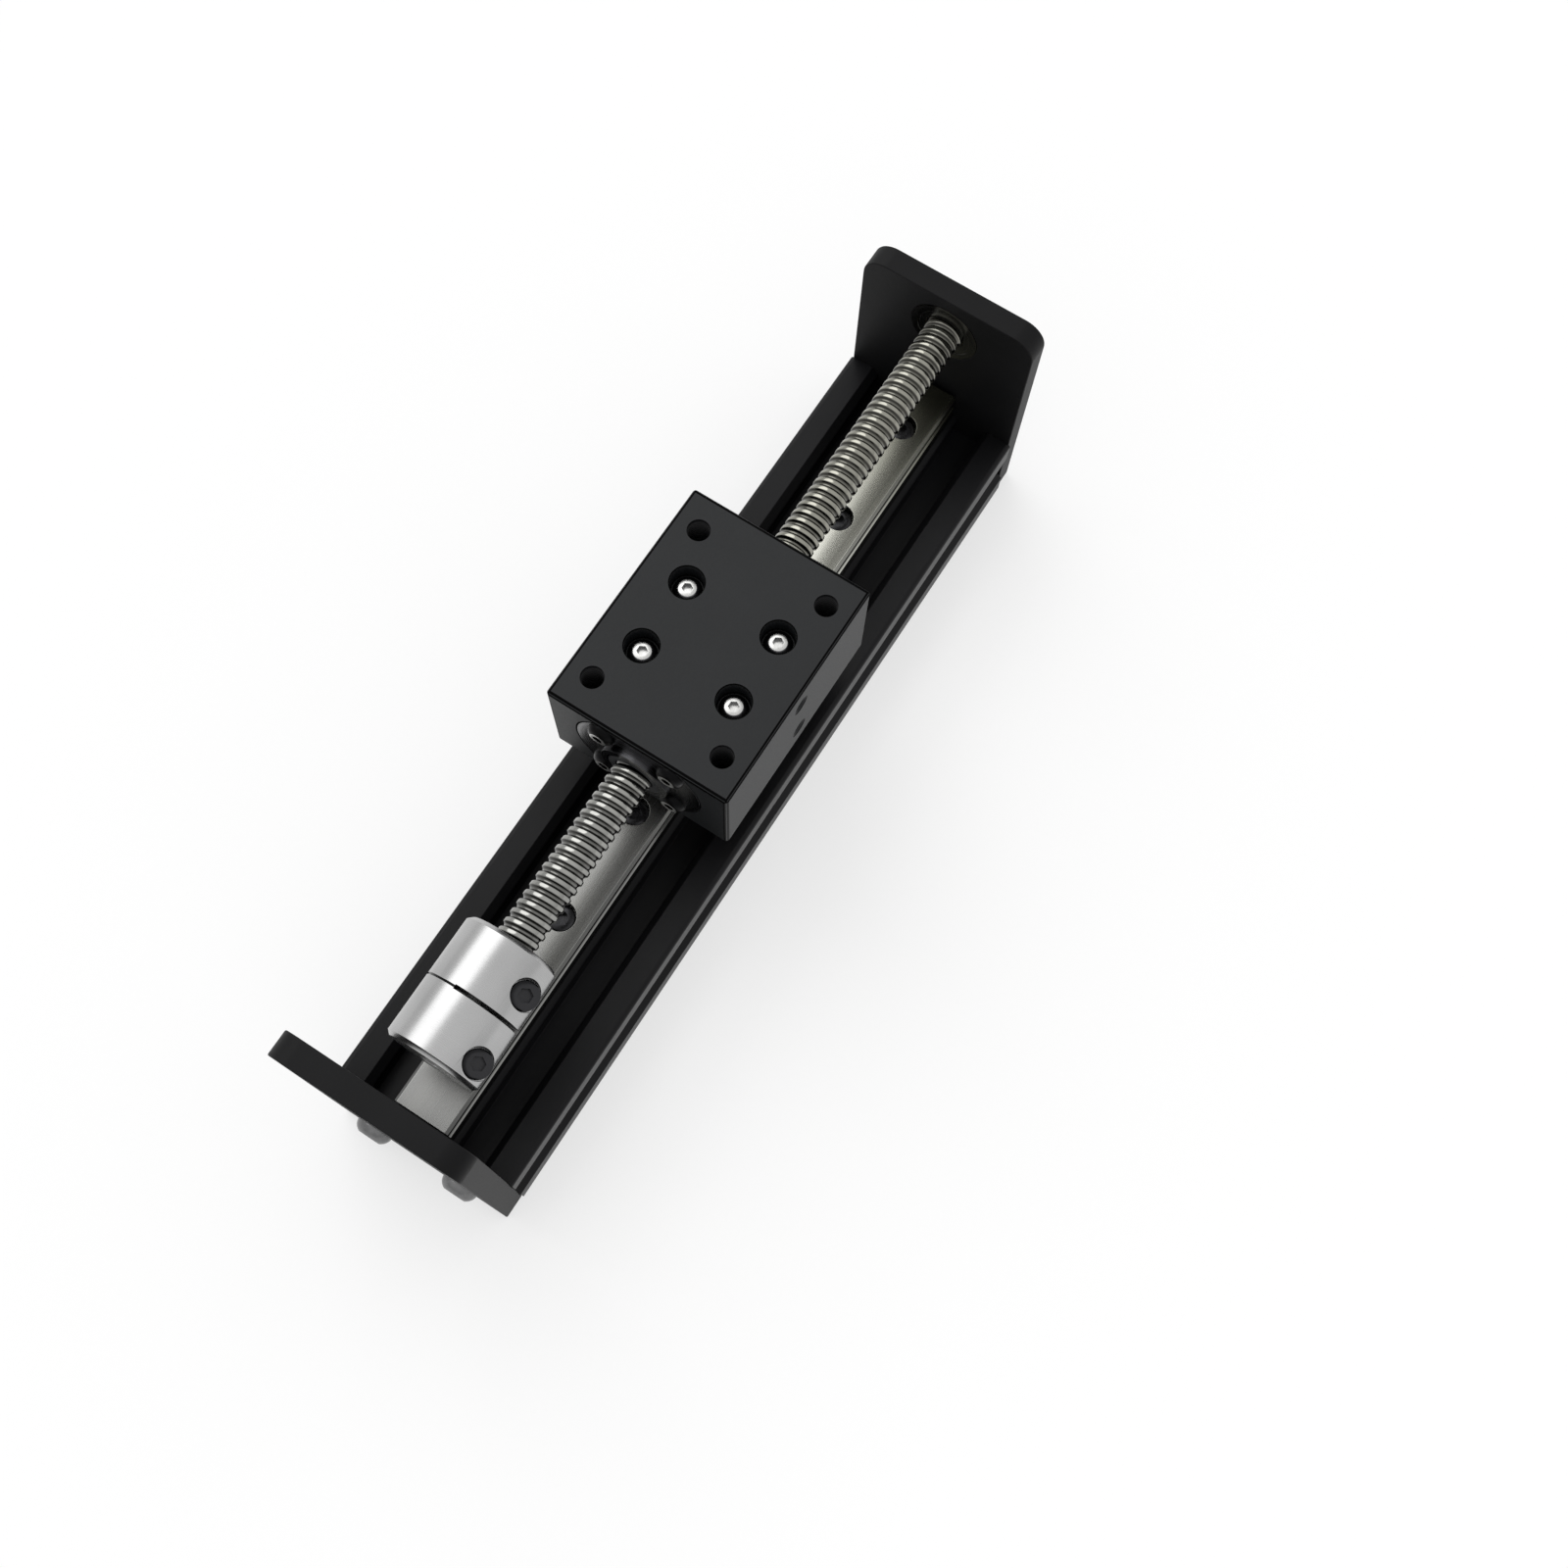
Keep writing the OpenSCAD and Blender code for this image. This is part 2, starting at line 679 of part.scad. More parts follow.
module carriage() {
    color("#3b3c3f") difference() {
        carriage_blank();
        for (a = [-1, 1], b = [-1, 1])
            translate([x_car + a * load_pitch_x / 2, b * load_pitch_y / 2,
                    z_car_top - load_hole_depth])
                cylinder(h = load_hole_depth + eps, r = load_hole_d / 2);
        at_block_screws(z_block_screw_seat) {
            cylinder(h = car_h, r = block_cbore_r);
            translate([0, 0, -car_h]) cylinder(h = car_h + eps,
                r = block_screw_d / 2 + clear_gap);
        }
        for (s = [-1, 1])
            translate([x_car + side_hole_shift, -car_w / 2 - eps,
                    z_block + car_h / 2 + s * side_pitch / 2])
                rotate([-90, 0, 0]) cylinder(h = side_hole_depth + eps, r = side_hole_d / 2);
        translate([0, 0, z_axis])
            rod_x(x_car_face - eps, car_len + 2 * eps, nut_d / 2 + nut_gap);
        along_x(x_car_face - eps, flange_t + eps)
            translate([0, z_axis]) flange_outline(nut_gap);
        at_flange_screws() translate([0, 0, -flange_screw_len - 1])
            cylinder(h = flange_screw_len + 1, r = flange_screw_d / 2);
    }
}

module carriage_screws() {
    color("#d4d5d6") at_block_screws(z_block_screw_seat)
        button_screw(block_screw_d, block_screw_len);
}

// ---- guide block -----------------------------------------------------------

// A saddle over the rail, drawn in (Y, Z): inset from the block's outline by edge,
// with a gap to the rail.
module saddle_profile(edge, gap) {
    h = block_top - block_under - edge;
    difference() {
        translate([0, z_block_foot + h / 2 + edge / 2])
            chamfered(block_w - 2 * edge, h - edge / 2, 0.6);
        translate([-rail_w / 2 - gap, base_h]) square([rail_w + 2 * gap, rail_h + gap]);
    }
}

module guide_block() {
    color("#c2c3c5") difference() {
        along_x(x_car - block_steel_len / 2, block_steel_len) difference() {
            saddle_profile(0, guide_gap);
            for (s = [-1, 1]) translate([s * raceway_y, raceway_z]) circle(raceway_r);
        }
        at_block_screws(z_block - block_screw_reach - block_hole_tip)
            cylinder(h = block_top, r = block_screw_d / 2);
        for (s = [-1, 1])
            translate([0, s * cap_screw_y, cap_screw_z])
                rod_x(x_car - block_len, 2 * block_len, cap_screw_r + thread_gap / 2);
    }
}

module at_block_ends() {
    for (m = [0, 1]) translate([x_car, 0, 0]) mirror([m, 0, 0]) children();
}

module guide_block_end_caps() {
    color("#1f2022") at_block_ends() difference() {
        along_x(block_steel_len / 2, cap_len) saddle_profile(cap_inset, guide_gap);
        for (s = [-1, 1]) translate([0, s * cap_screw_y, cap_screw_z])
            rod_x(0, block_len, cap_screw_r + thread_gap);
    }
}

module guide_block_end_seals() {
    color("#8c2f22") at_block_ends() difference() {
        along_x(block_steel_len / 2 + cap_len, seal_t) difference() {
            saddle_profile(cap_inset, wipe_gap);
            for (s = [-1, 1]) translate([s * cap_screw_y, cap_screw_z])
                circle(2 * cap_screw_r);
        }
    }
}

module guide_block_cap_screws() {
    color("silver") at_block_ends() for (s = [-1, 1])
        translate([block_steel_len / 2 + cap_len, s * cap_screw_y, cap_screw_z])
            rotate([0, 90, 0]) difference() {
                union() {
                    translate([0, 0, -cap_len - cap_screw_grip])
                        cylinder(h = cap_len + cap_screw_grip, r = cap_screw_r);
                    cylinder(h = seal_t * 0.8, r = 2 * cap_screw_r - thread_gap);
                }
                translate([0, 0, seal_t * 0.4])
                    cylinder(h = seal_t, r = cap_screw_r * 0.7, $fn = hex_fn);
            }
}

module guide_block_balls() {
    color("#dcdddf") for (s = [-1, 1], i = [0 : guide_balls_n - 1])
        translate([x_car + (i - (guide_balls_n - 1) / 2) * guide_ball_step,
                s * raceway_y, raceway_z])
            sphere(guide_ball_d / 2);
}

// ---- ball nut --------------------------------------------------------------

x_wipers = [x_car_face - hub_len, x_car_face + flange_t + nut_barrel_len - wiper_t];

module at_return_buttons() {
    for (i = [0 : 2])
        translate([x_car_face + flange_t + nut_barrel_len * (0.3 + 0.2 * i), 0, z_axis])
            rotate([90 + 120 * i, 0, 0]) children();
}

module ball_nut() {
    color("#46484b") difference() {
        union() {
            along_x(x_car_face, flange_t) translate([0, z_axis]) flange_outline(0);
            translate([0, 0, z_axis]) {
                rod_x(x_car_face, flange_t + nut_barrel_len, nut_d / 2);
                rod_x(x_car_face - hub_len, hub_len + eps, hub_d / 2);
            }
        }
        translate([0, 0, z_axis]) {
            rod_x(x_car_face - hub_len - eps, car_len, screw_r + guide_gap / 2);
            for (x = x_wipers) rod_x(x - eps, wiper_t + 2 * eps, wiper_seat_d / 2);
        }
        at_flange_screws() translate([0, 0, -flange_t - eps])
            cylinder(h = flange_t + 2 * eps, r = flange_screw_d / 2 + clear_gap / 2);
        at_return_buttons() cylinder(h = nut_d, r = button_d / 2);
    }
}

module ball_nut_screws() {
    color("silver") at_flange_screws() button_screw(flange_screw_d, flange_screw_len);
}

module ball_nut_wipers() {
    color("#1b1b1c") for (x = x_wipers)
        ring(x, wiper_t, screw_r + wipe_gap, wiper_seat_d / 2 - fit_gap);
}

module ball_nut_return_buttons() {
    color("#9a9b9d") intersection() {
        at_return_buttons() translate([0, 0, screw_r + guide_gap])
            cylinder(h = nut_d, r = button_d / 2 - fit_gap);
        ring(x_car_face, car_len, screw_r, nut_d / 2);
    }
}

// ---- drawing ---------------------------------------------------------------

base_extrusion();
guide_rail();
rail_screws();
motor_plate();
motor_plate_screws();
bearing_plate();
bearing_plate_screws();
bearing_outer_ring();
bearing_shields();
bearing_cage();
bearing_balls();
bearing_inner_ring();
ball_screw();
retaining_ring();
coupling();
coupling_screws();
carriage();
carriage_screws();
guide_block();
guide_block_end_caps();
guide_block_end_seals();
guide_block_cap_screws();
guide_block_balls();
ball_nut();
ball_nut_screws();
ball_nut_wipers();
ball_nut_return_buttons();
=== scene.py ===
"""Ball screw linear module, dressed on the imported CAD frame.

The base, plates, rail, carriage, coupling and nut are finished copies of the CAD solids with
broken edges. The ball screw has its real right-hand thread, and all screws and balls come
from Geometry Nodes. Sizes are in metres, in the CAD frame: X along the travel, Z up.
"""

import math

import bmesh
import bpy
from mathutils import Matrix, Vector


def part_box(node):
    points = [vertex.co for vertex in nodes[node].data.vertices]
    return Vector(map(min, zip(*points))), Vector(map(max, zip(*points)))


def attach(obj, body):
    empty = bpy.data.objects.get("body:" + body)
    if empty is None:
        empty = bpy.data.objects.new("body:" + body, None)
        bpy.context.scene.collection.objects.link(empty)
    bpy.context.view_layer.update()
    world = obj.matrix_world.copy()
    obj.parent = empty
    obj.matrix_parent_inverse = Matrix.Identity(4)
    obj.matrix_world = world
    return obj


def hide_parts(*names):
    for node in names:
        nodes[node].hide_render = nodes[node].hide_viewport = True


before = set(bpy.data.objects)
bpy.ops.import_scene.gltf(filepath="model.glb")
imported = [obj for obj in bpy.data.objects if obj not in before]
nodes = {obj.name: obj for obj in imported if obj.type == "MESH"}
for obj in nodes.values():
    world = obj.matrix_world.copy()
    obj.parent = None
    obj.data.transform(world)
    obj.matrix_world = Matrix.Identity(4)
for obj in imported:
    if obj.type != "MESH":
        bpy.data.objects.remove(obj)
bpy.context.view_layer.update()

MM = 0.001
AXIS = Vector((1, 0, 0))
ACROSS = Vector((0, 1, 0))
UP = Vector((0, 0, 1))

# Broken edges of machined pieces. An edge shorter than FULL_LENGTH widths is rounded less.
CARRIAGE_BREAK = 0.26 * MM
PLATE_BREAK = 0.25 * MM
PROFILE_BREAK = 0.08 * MM
COUPLING_BREAK = 0.05 * MM
NUT_BREAK = 0.03 * MM
BREAK_STEPS = 2
FULL_LENGTH = 2.0

# Angle above which an edge of a machined piece is sharp, and below which two faces are one.
SHARP = math.radians(32)
FLAT = math.radians(0.4)

# Angles up to which neighbouring faces of made pieces are shaded as one surface.
TAP_SMOOTH = math.radians(25)
SCREW_SMOOTH = math.radians(40)
THREAD_SMOOTH = math.radians(50)
BALL_SMOOTH = math.radians(60)

# Corners closer than this are one: of a solid, of a thread, and where a thread meets its end.
WELD = 0.001 * MM
THREAD_WELD = 0.002 * MM
END_WELD = 0.004 * MM

# How far a corner may lie off a hole's wall, and off a flat face, and still belong to it.
WALL_PLAY = 0.02 * MM
FACE_PLAY = 0.01 * MM

# Ball thread.
LEAD = 2.0 * MM
GROOVE_DEPTH = 0.5 * MM
THREAD_SIDES = 48
# Half of one turn from the middle of the crest to the middle of the groove: the place in leads,
# the share of the groove's depth, and how much painted shade the wall's tone takes there.
HALF_GROOVE = [
    (0.0, 0.0, 0.0),
    (0.14, 0.0, 0.0),
    (0.19, 0.06, 0.25),
    (0.23, 0.2, 0.8),
    (0.28, 0.48, 1.0),
    (0.34, 0.74, 0.95),
    (0.42, 0.94, 0.7),
]
GROOVE = HALF_GROOVE + [(0.5, 1.0, 0.5)] + [(1 - u, d, w) for u, d, w in HALF_GROOVE[:0:-1]]

# Tapped load holes in the carriage, M5. Their threads start TAP_LIP below the top, and are a
# sleeve with a wall of TAP_WALL at the roots. A turn has one column for each phase.
LOAD_PITCH_X = 35 * MM
LOAD_PITCH_Y = 28 * MM
TAP_CORE = 2.1 * MM
TAP_MAJOR = 2.5 * MM
TAP_WALL = 0.06 * MM
TAP_LIP = 0.5 * MM
TAP_PHASES = (0.0, 0.2, 0.5, 0.7)

# Tapped holes in the carriage's side, M3, one above the other, with a countersunk mouth.
SIDE_PITCH = 12 * MM
SIDE_SHIFT = 0.6 * MM
SIDE_CORE = 1.25 * MM
SIDE_MOUTH = 2.0 * MM

# Plain end of the ball screw and the groove for its retaining ring.
JOURNAL_RADIUS = 3.0 * MM
END_CHAMFER = 0.4 * MM
RING_BAND = 1.1 * MM

# Rounding of screw heads: the first step of a cap head's edge and the foot of a button head,
# as shares of the edge, and the dome's last angle, its steps, and how flat it is.
CAP_CORNER = 0.35
BUTTON_FOOT = 0.3
DOME_TOP = 64
DOME_STEP = 8
DOME_FLATNESS = 0.82

# Balls are a little smaller than their solids, so that they stay inside them.
BALL_SHARE = 0.995

# Places along X between which steel takes its painted reflection beyond the carriage, and the
# rail its painted reflection at the far end.
STEEL_FADE = (-30 * MM, 30 * MM)
RAIL_FADE = (35 * MM, 88 * MM)

# The clamp screws stand square to the coupling's flats, which are turned about X at rest.
CLAMP_TURN = math.radians(15)

# Studio light: the surround is dimmer at the horizon than overhead, and changes between
# these heights of the direction of view. The key light has a direction, a spread in degrees
# and a power.
HORIZON_LIGHT = 0.4
OVERHEAD_LIGHT = 0.95
SKY_HEIGHTS = (0.05, 0.9)
KEY_FROM = (0.25, 0.6, 0.76)
KEY_SPREAD = 50
KEY_POWER = 1.0

# The share of plain white in the floor, and in what shiny surfaces mirror of the surround.
FLOOR_GLOW = 0.6
FLOOR_HALF = 15.0
FLOOR_DROP = 0.2 * MM
WHITE = (1, 1, 1, 1)
PAPER_TONES = ((0.97, 0.97, 0.97, 1), (0.99, 0.99, 0.99, 1))

# Finishes: anodising's satin grain and the lathe's rings, both per metre, and the painted shade
# that upright ground sides darken towards.
SATIN = 4200
LATHE_RINGS = 5200
SIDE_SHADE = (0.02, 0.02, 0.02, 1)


# ---- node trees ------------------------------------------------------------


def socket_kind(value):
    """The interface socket that fits a value."""
    if isinstance(value, bpy.types.Material):
        return "NodeSocketMaterial"
    if isinstance(value, (tuple, Vector)):
        return "NodeSocketVector"
    return "NodeSocketInt" if isinstance(value, int) else "NodeSocketFloat"


class Tree:
    """A node tree that is written one node at a time."""

    def __init__(self, tree):
        self.tree = tree

    def put(self, kind, *inputs, out=0, **settings):
        """Adds a node, sets or links its inputs in order, and returns one of its outputs."""
        node = self.tree.nodes.new(kind)
        named = {k[1:]: settings.pop(k) for k in list(settings) if k.startswith("_")}
        for key, value in settings.items():
            setattr(node, key, value)
        for index, value in enumerate(inputs):
            self.feed(node.inputs[index], value)
        for name, value in named.items():
            self.feed(node.inputs[name.replace("_", " ")], value)
        return node.outputs[out]

    def feed(self, socket, value):
        """Links a socket to other sockets, or sets its value."""
        if isinstance(value, (list, tuple)) and any(
            isinstance(v, bpy.types.NodeSocket) for v in value
        ):
            for v in value:
                self.tree.links.new(v, socket)
        elif isinstance(value, bpy.types.NodeSocket):
            self.tree.links.new(value, socket)
        elif value is not None:
            socket.default_value = value

    def math(self, operation, a, b=None, c=None):
        """One step of arithmetic."""
        return self.put("ShaderNodeMath", a, b, c, operation=operation)

    def span(self, value, low, high, to_low, to_high):
        """Maps low to high onto to_low to to_high, and holds the ends."""
        return self.put("ShaderNodeMapRange", value, low, high, to_low, to_high)


class Maker(Tree):
    """A Geometry Nodes tree with named sizes, which turns a start mesh into a finished one."""

    def __init__(self, name, sizes):
        super().__init__(bpy.data.node_groups.new(name, "GeometryNodeTree"))
        face = self.tree.interface
        face.new_socket("Geometry", in_out="INPUT", socket_type="NodeSocketGeometry")
        self.keys = {}
        for label, value in sizes.items():
            socket = face.new_socket(label, in_out="INPUT", socket_type=socket_kind(value))
            self.keys[label] = socket.identifier
        face.new_socket("Geometry", in_out="OUTPUT", socket_type="NodeSocketGeometry")
        self.start = self.tree.nodes.new("NodeGroupInput")
        self.sizes = sizes

    def size(self, label):
        """A named size of the maker, as a socket."""
        return self.start.outputs[label]

    def switch(self, index, values):
        """The value that stands at an index."""
        node = self.tree.nodes.new("GeometryNodeIndexSwitch")
        node.data_type = "FLOAT"
        while len(node.index_switch_items) < len(values):
            node.index_switch_items.new()
        self.feed(node.inputs[0], index)
        for socket, value in zip(node.inputs[1:], values):
            self.feed(socket, value)
        return node.outputs[0]

    def sheet(self, columns):
        """A grid to roll into a tube, with each corner's column and its share of a turn."""
        rows = self.math("ADD", self.size("Sides"), 1.0)
        grid = self.put("GeometryNodeMeshGrid", 1.0, 1.0, columns, rows)
        spot = self.put("ShaderNodeSeparateXYZ", self.put("GeometryNodeInputPosition")).node
        along = self.math("ADD", spot.outputs["X"], 0.5)
        around = self.math("ADD", spot.outputs["Y"], 0.5)
        last = self.math("SUBTRACT", columns, 1.0)
        return grid, self.math("ROUND", self.math("MULTIPLY", along, last)), around

    def circle(self, radius, around, way=1):
        """Two coordinates of a place that is some share of a turn round a circle."""
        angle = self.math("MULTIPLY", around, way * 2 * math.pi)
        return (self.math("MULTIPLY", radius, self.math("COSINE", angle)),
                self.math("MULTIPLY", radius, self.math("SINE", angle)))

    def rolled(self, grid, x, y, z, weld):
        """The grid with its corners moved to their places and its seams closed."""
        places = self.put("ShaderNodeCombineXYZ", x, y, z)
        bent = self.put("GeometryNodeSetPosition", grid, _Position=places)
        return self.put("GeometryNodeMergeByDistance", bent, _Distance=weld)

    def close(self, geometry):
        """Ends the tree in real geometry with its material."""
        real = self.put("GeometryNodeRealizeInstances", geometry)
        painted = self.put("GeometryNodeSetMaterial", real, _Material=self.size("Material"))
        end = self.tree.nodes.new("NodeGroupOutput")
        self.tree.links.new(painted, end.inputs[0])

    def make(self, name, points, **changes):
        """Runs the tree on points and returns a plain mesh object."""
        seeds = bpy.data.meshes.new(name + "_seeds")
        seeds.from_pydata([tuple(p) for p in points], [], [])
        work = bpy.data.objects.new(name + "_work", seeds)
        bpy.context.scene.collection.objects.link(work)
        modifier = work.modifiers.new("make", "NODES")
        modifier.node_group = self.tree
        for label, value in {**self.sizes, **changes}.items():
            modifier[self.keys[label]] = tuple(value) if isinstance(value, Vector) else value
        graph = bpy.context.evaluated_depsgraph_get()
        mesh = bpy.data.meshes.new_from_object(work.evaluated_get(graph))
        mesh.name = name
        bpy.data.objects.remove(work)
        piece = bpy.data.objects.new(name, mesh)
        bpy.context.scene.collection.objects.link(piece)
        return piece


# ---- mesh helpers ----------------------------------------------------------


def finish_mesh(piece, angle):
    """Smooth shading, broken at edges sharper than angle."""
    mesh = piece.data
    for face in mesh.polygons:
        face.use_smooth = True
    mesh.set_sharp_from_angle(angle=angle)
    return piece


def outward(piece):
    """Turns every face of closed shells outward."""
    work = bmesh.new()
    work.from_mesh(piece.data)
    bmesh.ops.recalc_face_normals(work, faces=work.faces)
    work.to_mesh(piece.data)
    work.free()
    return piece


def paint(piece, material):
    """Gives a piece its one material."""
    piece.data.materials.clear()
    piece.data.materials.append(material)
    return piece


def fit(piece, body, slot, *replaced):
    """Ties a finished piece to its body and hides the CAD nodes that it stands for. The slot is
    not used.
    """
    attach(piece, body)
    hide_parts(*replaced)
    return piece


def weigh_edges(work, width):
    """Marks the sharp edges of a solid for rounding. Short ones, as round a small hole, take
    less than the full width."""
    weight = work.edges.layers.float.new("bevel_weight_edge")
    for edge in work.edges:
        if edge.is_manifold and edge.calc_face_angle() > SHARP:
            edge[weight] = min(1.0, edge.calc_length() / (FULL_LENGTH * width))


def open_hole(work, centre, way, lip, radius, new_radius):
    """Widens a round hole whose axis runs through centre along way. Its wall gets a ring of
    corners at lip, and the corners behind centre, against way, move to the new radius."""

    def from_axis(vert):
        """The way from the hole's axis to a corner."""
        away = vert.co - centre
        return away - way * away.dot(way)

    def on_wall(vert):
        """Whether a corner lies on the hole's wall."""
        return abs(from_axis(vert).length - radius) < WALL_PLAY

    walls = [face for face in work.faces if all(on_wall(vert) for vert in face.verts)]
    edges = {edge for face in walls for edge in face.edges}
    verts = {vert for face in walls for vert in face.verts}
    bmesh.ops.bisect_plane(work, geom=[*verts, *edges, *walls], plane_co=lip, plane_no=way)
    for vert in [v for v in work.verts if on_wall(v)]:
        if (vert.co - centre).dot(way) < FACE_PLAY:
            vert.co += from_axis(vert).normalized() * (new_radius - radius)


def broken_edges(node, name, width, holes=()):
    """A merged copy of a CAD solid whose sharp edges are rounded by width. The edges take the
    second material."""
    work = bmesh.new()
    work.from_mesh(nodes[node].data)
    bmesh.ops.remove_doubles(work, verts=work.verts, dist=WELD)
    bmesh.ops.dissolve_limit(work, angle_limit=FLAT, verts=work.verts, edges=work.edges)
    for hole in holes:
        open_hole(work, *hole)
    weigh_edges(work, width)
    mesh = bpy.data.meshes.new(name)
    work.to_mesh(mesh)
    work.free()
    piece = bpy.data.objects.new(name, mesh)
    bpy.context.scene.collection.objects.link(piece)
    bevel = piece.modifiers.new("edges", "BEVEL")
    bevel.width = width
    bevel.segments = BREAK_STEPS
    bevel.limit_method = "WEIGHT"
    bevel.use_clamp_overlap = False
    bevel.miter_outer = "MITER_ARC"
    bevel.material = 1
    mesh.materials.append(None)
    mesh.materials.append(None)
    even = piece.modifiers.new("even", "WEIGHTED_NORMAL")
    even.mode = "FACE_AREA"
    even.weight = 100
    even.keep_sharp = False
    for face in piece.data.polygons:
        face.use_smooth = True
    graph = bpy.context.evaluated_depsgraph_get()
    done = bpy.data.meshes.new_from_object(piece.evaluated_get(graph))
    piece.modifiers.clear()
    piece.data = done
    return piece


def turned(profile, centre):
    """A closed turned shape about a line along X through centre: profile is (x, radius)."""
    work = bmesh.new()
    angles = [2 * math.pi * i / THREAD_SIDES for i in range(THREAD_SIDES)]
    rings = []
    for x, radius in profile:
        spots = [(x, centre.y + radius * math.cos(angle), centre.z + radius * math.sin(angle))
                 for angle in (angles if radius > 0 else angles[:1])]
        rings.append([work.verts.new(spot) for spot in spots])
    for first, second in zip(rings, rings[1:]):
        for i in range(THREAD_SIDES):
            j = (i + 1) % THREAD_SIDES
            corners = [first[i % len(first)], first[j % len(first)]]
            corners += [second[j % len(second)], second[i % len(second)]]
            work.faces.new(list(dict.fromkeys(corners)))
    return work


# ---- materials -------------------------------------------------------------


class Finish(Tree):
    """A procedural material on a Principled shader."""

    def __init__(self, name, **constants):
        self.material = bpy.data.materials.new(name)
        self.material.use_nodes = True
        super().__init__(self.material.node_tree)
        self.shader = next(n for n in self.tree.nodes if n.type == "BSDF_PRINCIPLED")
        for key, value in constants.items():
            self.shader.inputs[key.replace("_", " ")].default_value = value
        self.place = self.put("ShaderNodeTexCoord", out="Object")

    def stretched(self, scale):
        """Object coordinates scaled by three factors, per metre."""
        return self.put("ShaderNodeMapping", self.place, _Scale=scale, vector_type="POINT")

    def noise(self, vector, scale=1.0, detail=3.0, rough=0.55):
        """A soft noise of one value, over the given place."""
        return self.put(
            "ShaderNodeTexNoise",
            _Vector=vector,
            _Scale=scale,
            _Detail=detail,
            _Roughness=rough,
            noise_dimensions="3D",
        )

    def spread(self, noise, low=0.0, high=1.0, margin=0.3):
        """The middle of a noise, spread from low to high."""
        return self.span(noise, margin, 1 - margin, low, high)

    def tint(self, factor, first, second):
        """A colour between two. Sockets 6, 7 and 2 are the mix node's colours."""
        node = self.tree.nodes.new("ShaderNodeMix")
        node.data_type = "RGBA"
        self.feed(node.inputs["Factor"], factor)
        self.feed(node.inputs[6], first)
        self.feed(node.inputs[7], second)
        return node.outputs[2]

    def cloudy(self, noise, dark, light, margin=0.3):
        """A colour that follows a noise between two."""
        return self.tint(self.spread(noise, margin=margin), srgb(dark), srgb(light))

    def far_end(self, start, end):
        """Nought up to start and one from end on, both places along X."""
        along = self.put("ShaderNodeSeparateXYZ", self.place, out="X")
        return self.span(along, start, end, 0.0, 1.0)

    def colour(self, value):
        """Sets the surface's colour."""
        self.feed(self.shader.inputs["Base Color"], value)

    def roughness(self, value):
        """Sets how dull the surface is."""
        self.feed(self.shader.inputs["Roughness"], value)

    def bump(self, height, depth):
        """Fine relief of the given depth."""
        bumps = self.put("ShaderNodeBump", _Strength=1.0, _Distance=depth, _Height=height)
        self.feed(self.shader.inputs["Normal"], bumps)


def srgb(code):
    """A linear colour from its usual six digits."""
    parts = [int(code[i : i + 2], 16) / 255 for i in (0, 2, 4)]
    return (*[p / 12.92 if p <= 0.04045 else ((p + 0.055) / 1.055) ** 2.4 for p in parts], 1)


def black_anodised(name, dark, light, lay=(1, 1, 1), rough=(0.34, 0.44), grain=0.012 * MM,
                   ior=1.5):
    """Black anodising: a fine satin grain, drawn out along the lay of the metal under it."""
    m = Finish(name, Metallic=0.0, IOR=ior)
    fine = m.noise(m.stretched(tuple(SATIN * v for v in lay)), detail=2.0)
    cloud = m.noise(m.place, scale=38.0, detail=4.0)
    m.colour(m.cloudy(cloud, dark, light))
    m.roughness(m.spread(fine, *rough, margin=0.25))
    m.bump(fine, grain)
    return m.material


def ground_steel(name, dark, light, rough=(0.12, 0.24), lay=(2, 900, 900), grain=0.002 * MM,
                 side_shade=1.0, beyond=None, far=None):
    """Ground steel: hairlines along the lay and a faint cloudy film of oil. Upright sides take a
    painted shade, darker by the factor side. The tones beyond and far are painted reflections:
    they stand in for what polished steel mirrors past the carriage and at the far end."""
    m = Finish(name, Metallic=1.0)
    lines = m.noise(m.stretched(lay), scale=3.0, detail=3.0, rough=0.6)
    film = m.noise(m.stretched((14, 60, 60)), detail=3.0)
    top = m.cloudy(film, dark, light, margin=0.35)
    if beyond:
        # Painted reflections: one tone beyond the carriage, another at the far end.
        top = m.tint(m.far_end(*STEEL_FADE), top, srgb(beyond))
        top = m.tint(m.far_end(*RAIL_FADE), top, srgb(far))
    normal = m.put("ShaderNodeNewGeometry", out="True Normal")
    facing = m.put("ShaderNodeSeparateXYZ", normal, out="Z")
    # Upright faces darken towards the painted shade.
    flat = m.span(facing, 0.85, 0.97, side_shade, 1.0)
    m.colour(m.tint(flat, SIDE_SHADE, top))
    m.roughness(m.spread(lines, *rough))
    m.bump(lines, grain)
    return m.material


def turned_metal(name, dark, light, centre, rough=(0.2, 0.34), grain=0.006 * MM, seam=None):
    """Metal off the lathe: rings round an axis along X, concentric on its faces. A seam is a
    narrow turned groove whose floor is painted dark, a painted shade: (place along X, half its
    width, colour of the painted shade on its floor)."""
    m = Finish(name, Metallic=1.0)
    apart = m.put("ShaderNodeSeparateXYZ", m.place, out="X")
    across = m.math("ADD", apart.node.outputs["Y"], -centre.y)
    above = m.math("ADD", apart.node.outputs["Z"], -centre.z)
    total = m.math("ADD", m.math("MULTIPLY", across, across), m.math("MULTIPLY", above, above))
    lathe = m.put("ShaderNodeCombineXYZ", apart, m.math("POWER", total, 0.5), 0.0)
    rings = m.noise(lathe, scale=LATHE_RINGS, detail=2.0)
    tone = m.cloudy(m.noise(m.place, scale=90.0, detail=3.0), dark, light)
    if seam:
        place, half_width, floor = seam
        off = m.math("ABSOLUTE", m.math("ADD", apart, -place))
        # The groove's floor takes a painted shade.
        tone = m.tint(m.math("LESS_THAN", off, half_width), tone, srgb(floor))
    m.colour(tone)
    m.roughness(m.spread(rings, *rough))
    m.bump(rings, grain)
    return m.material


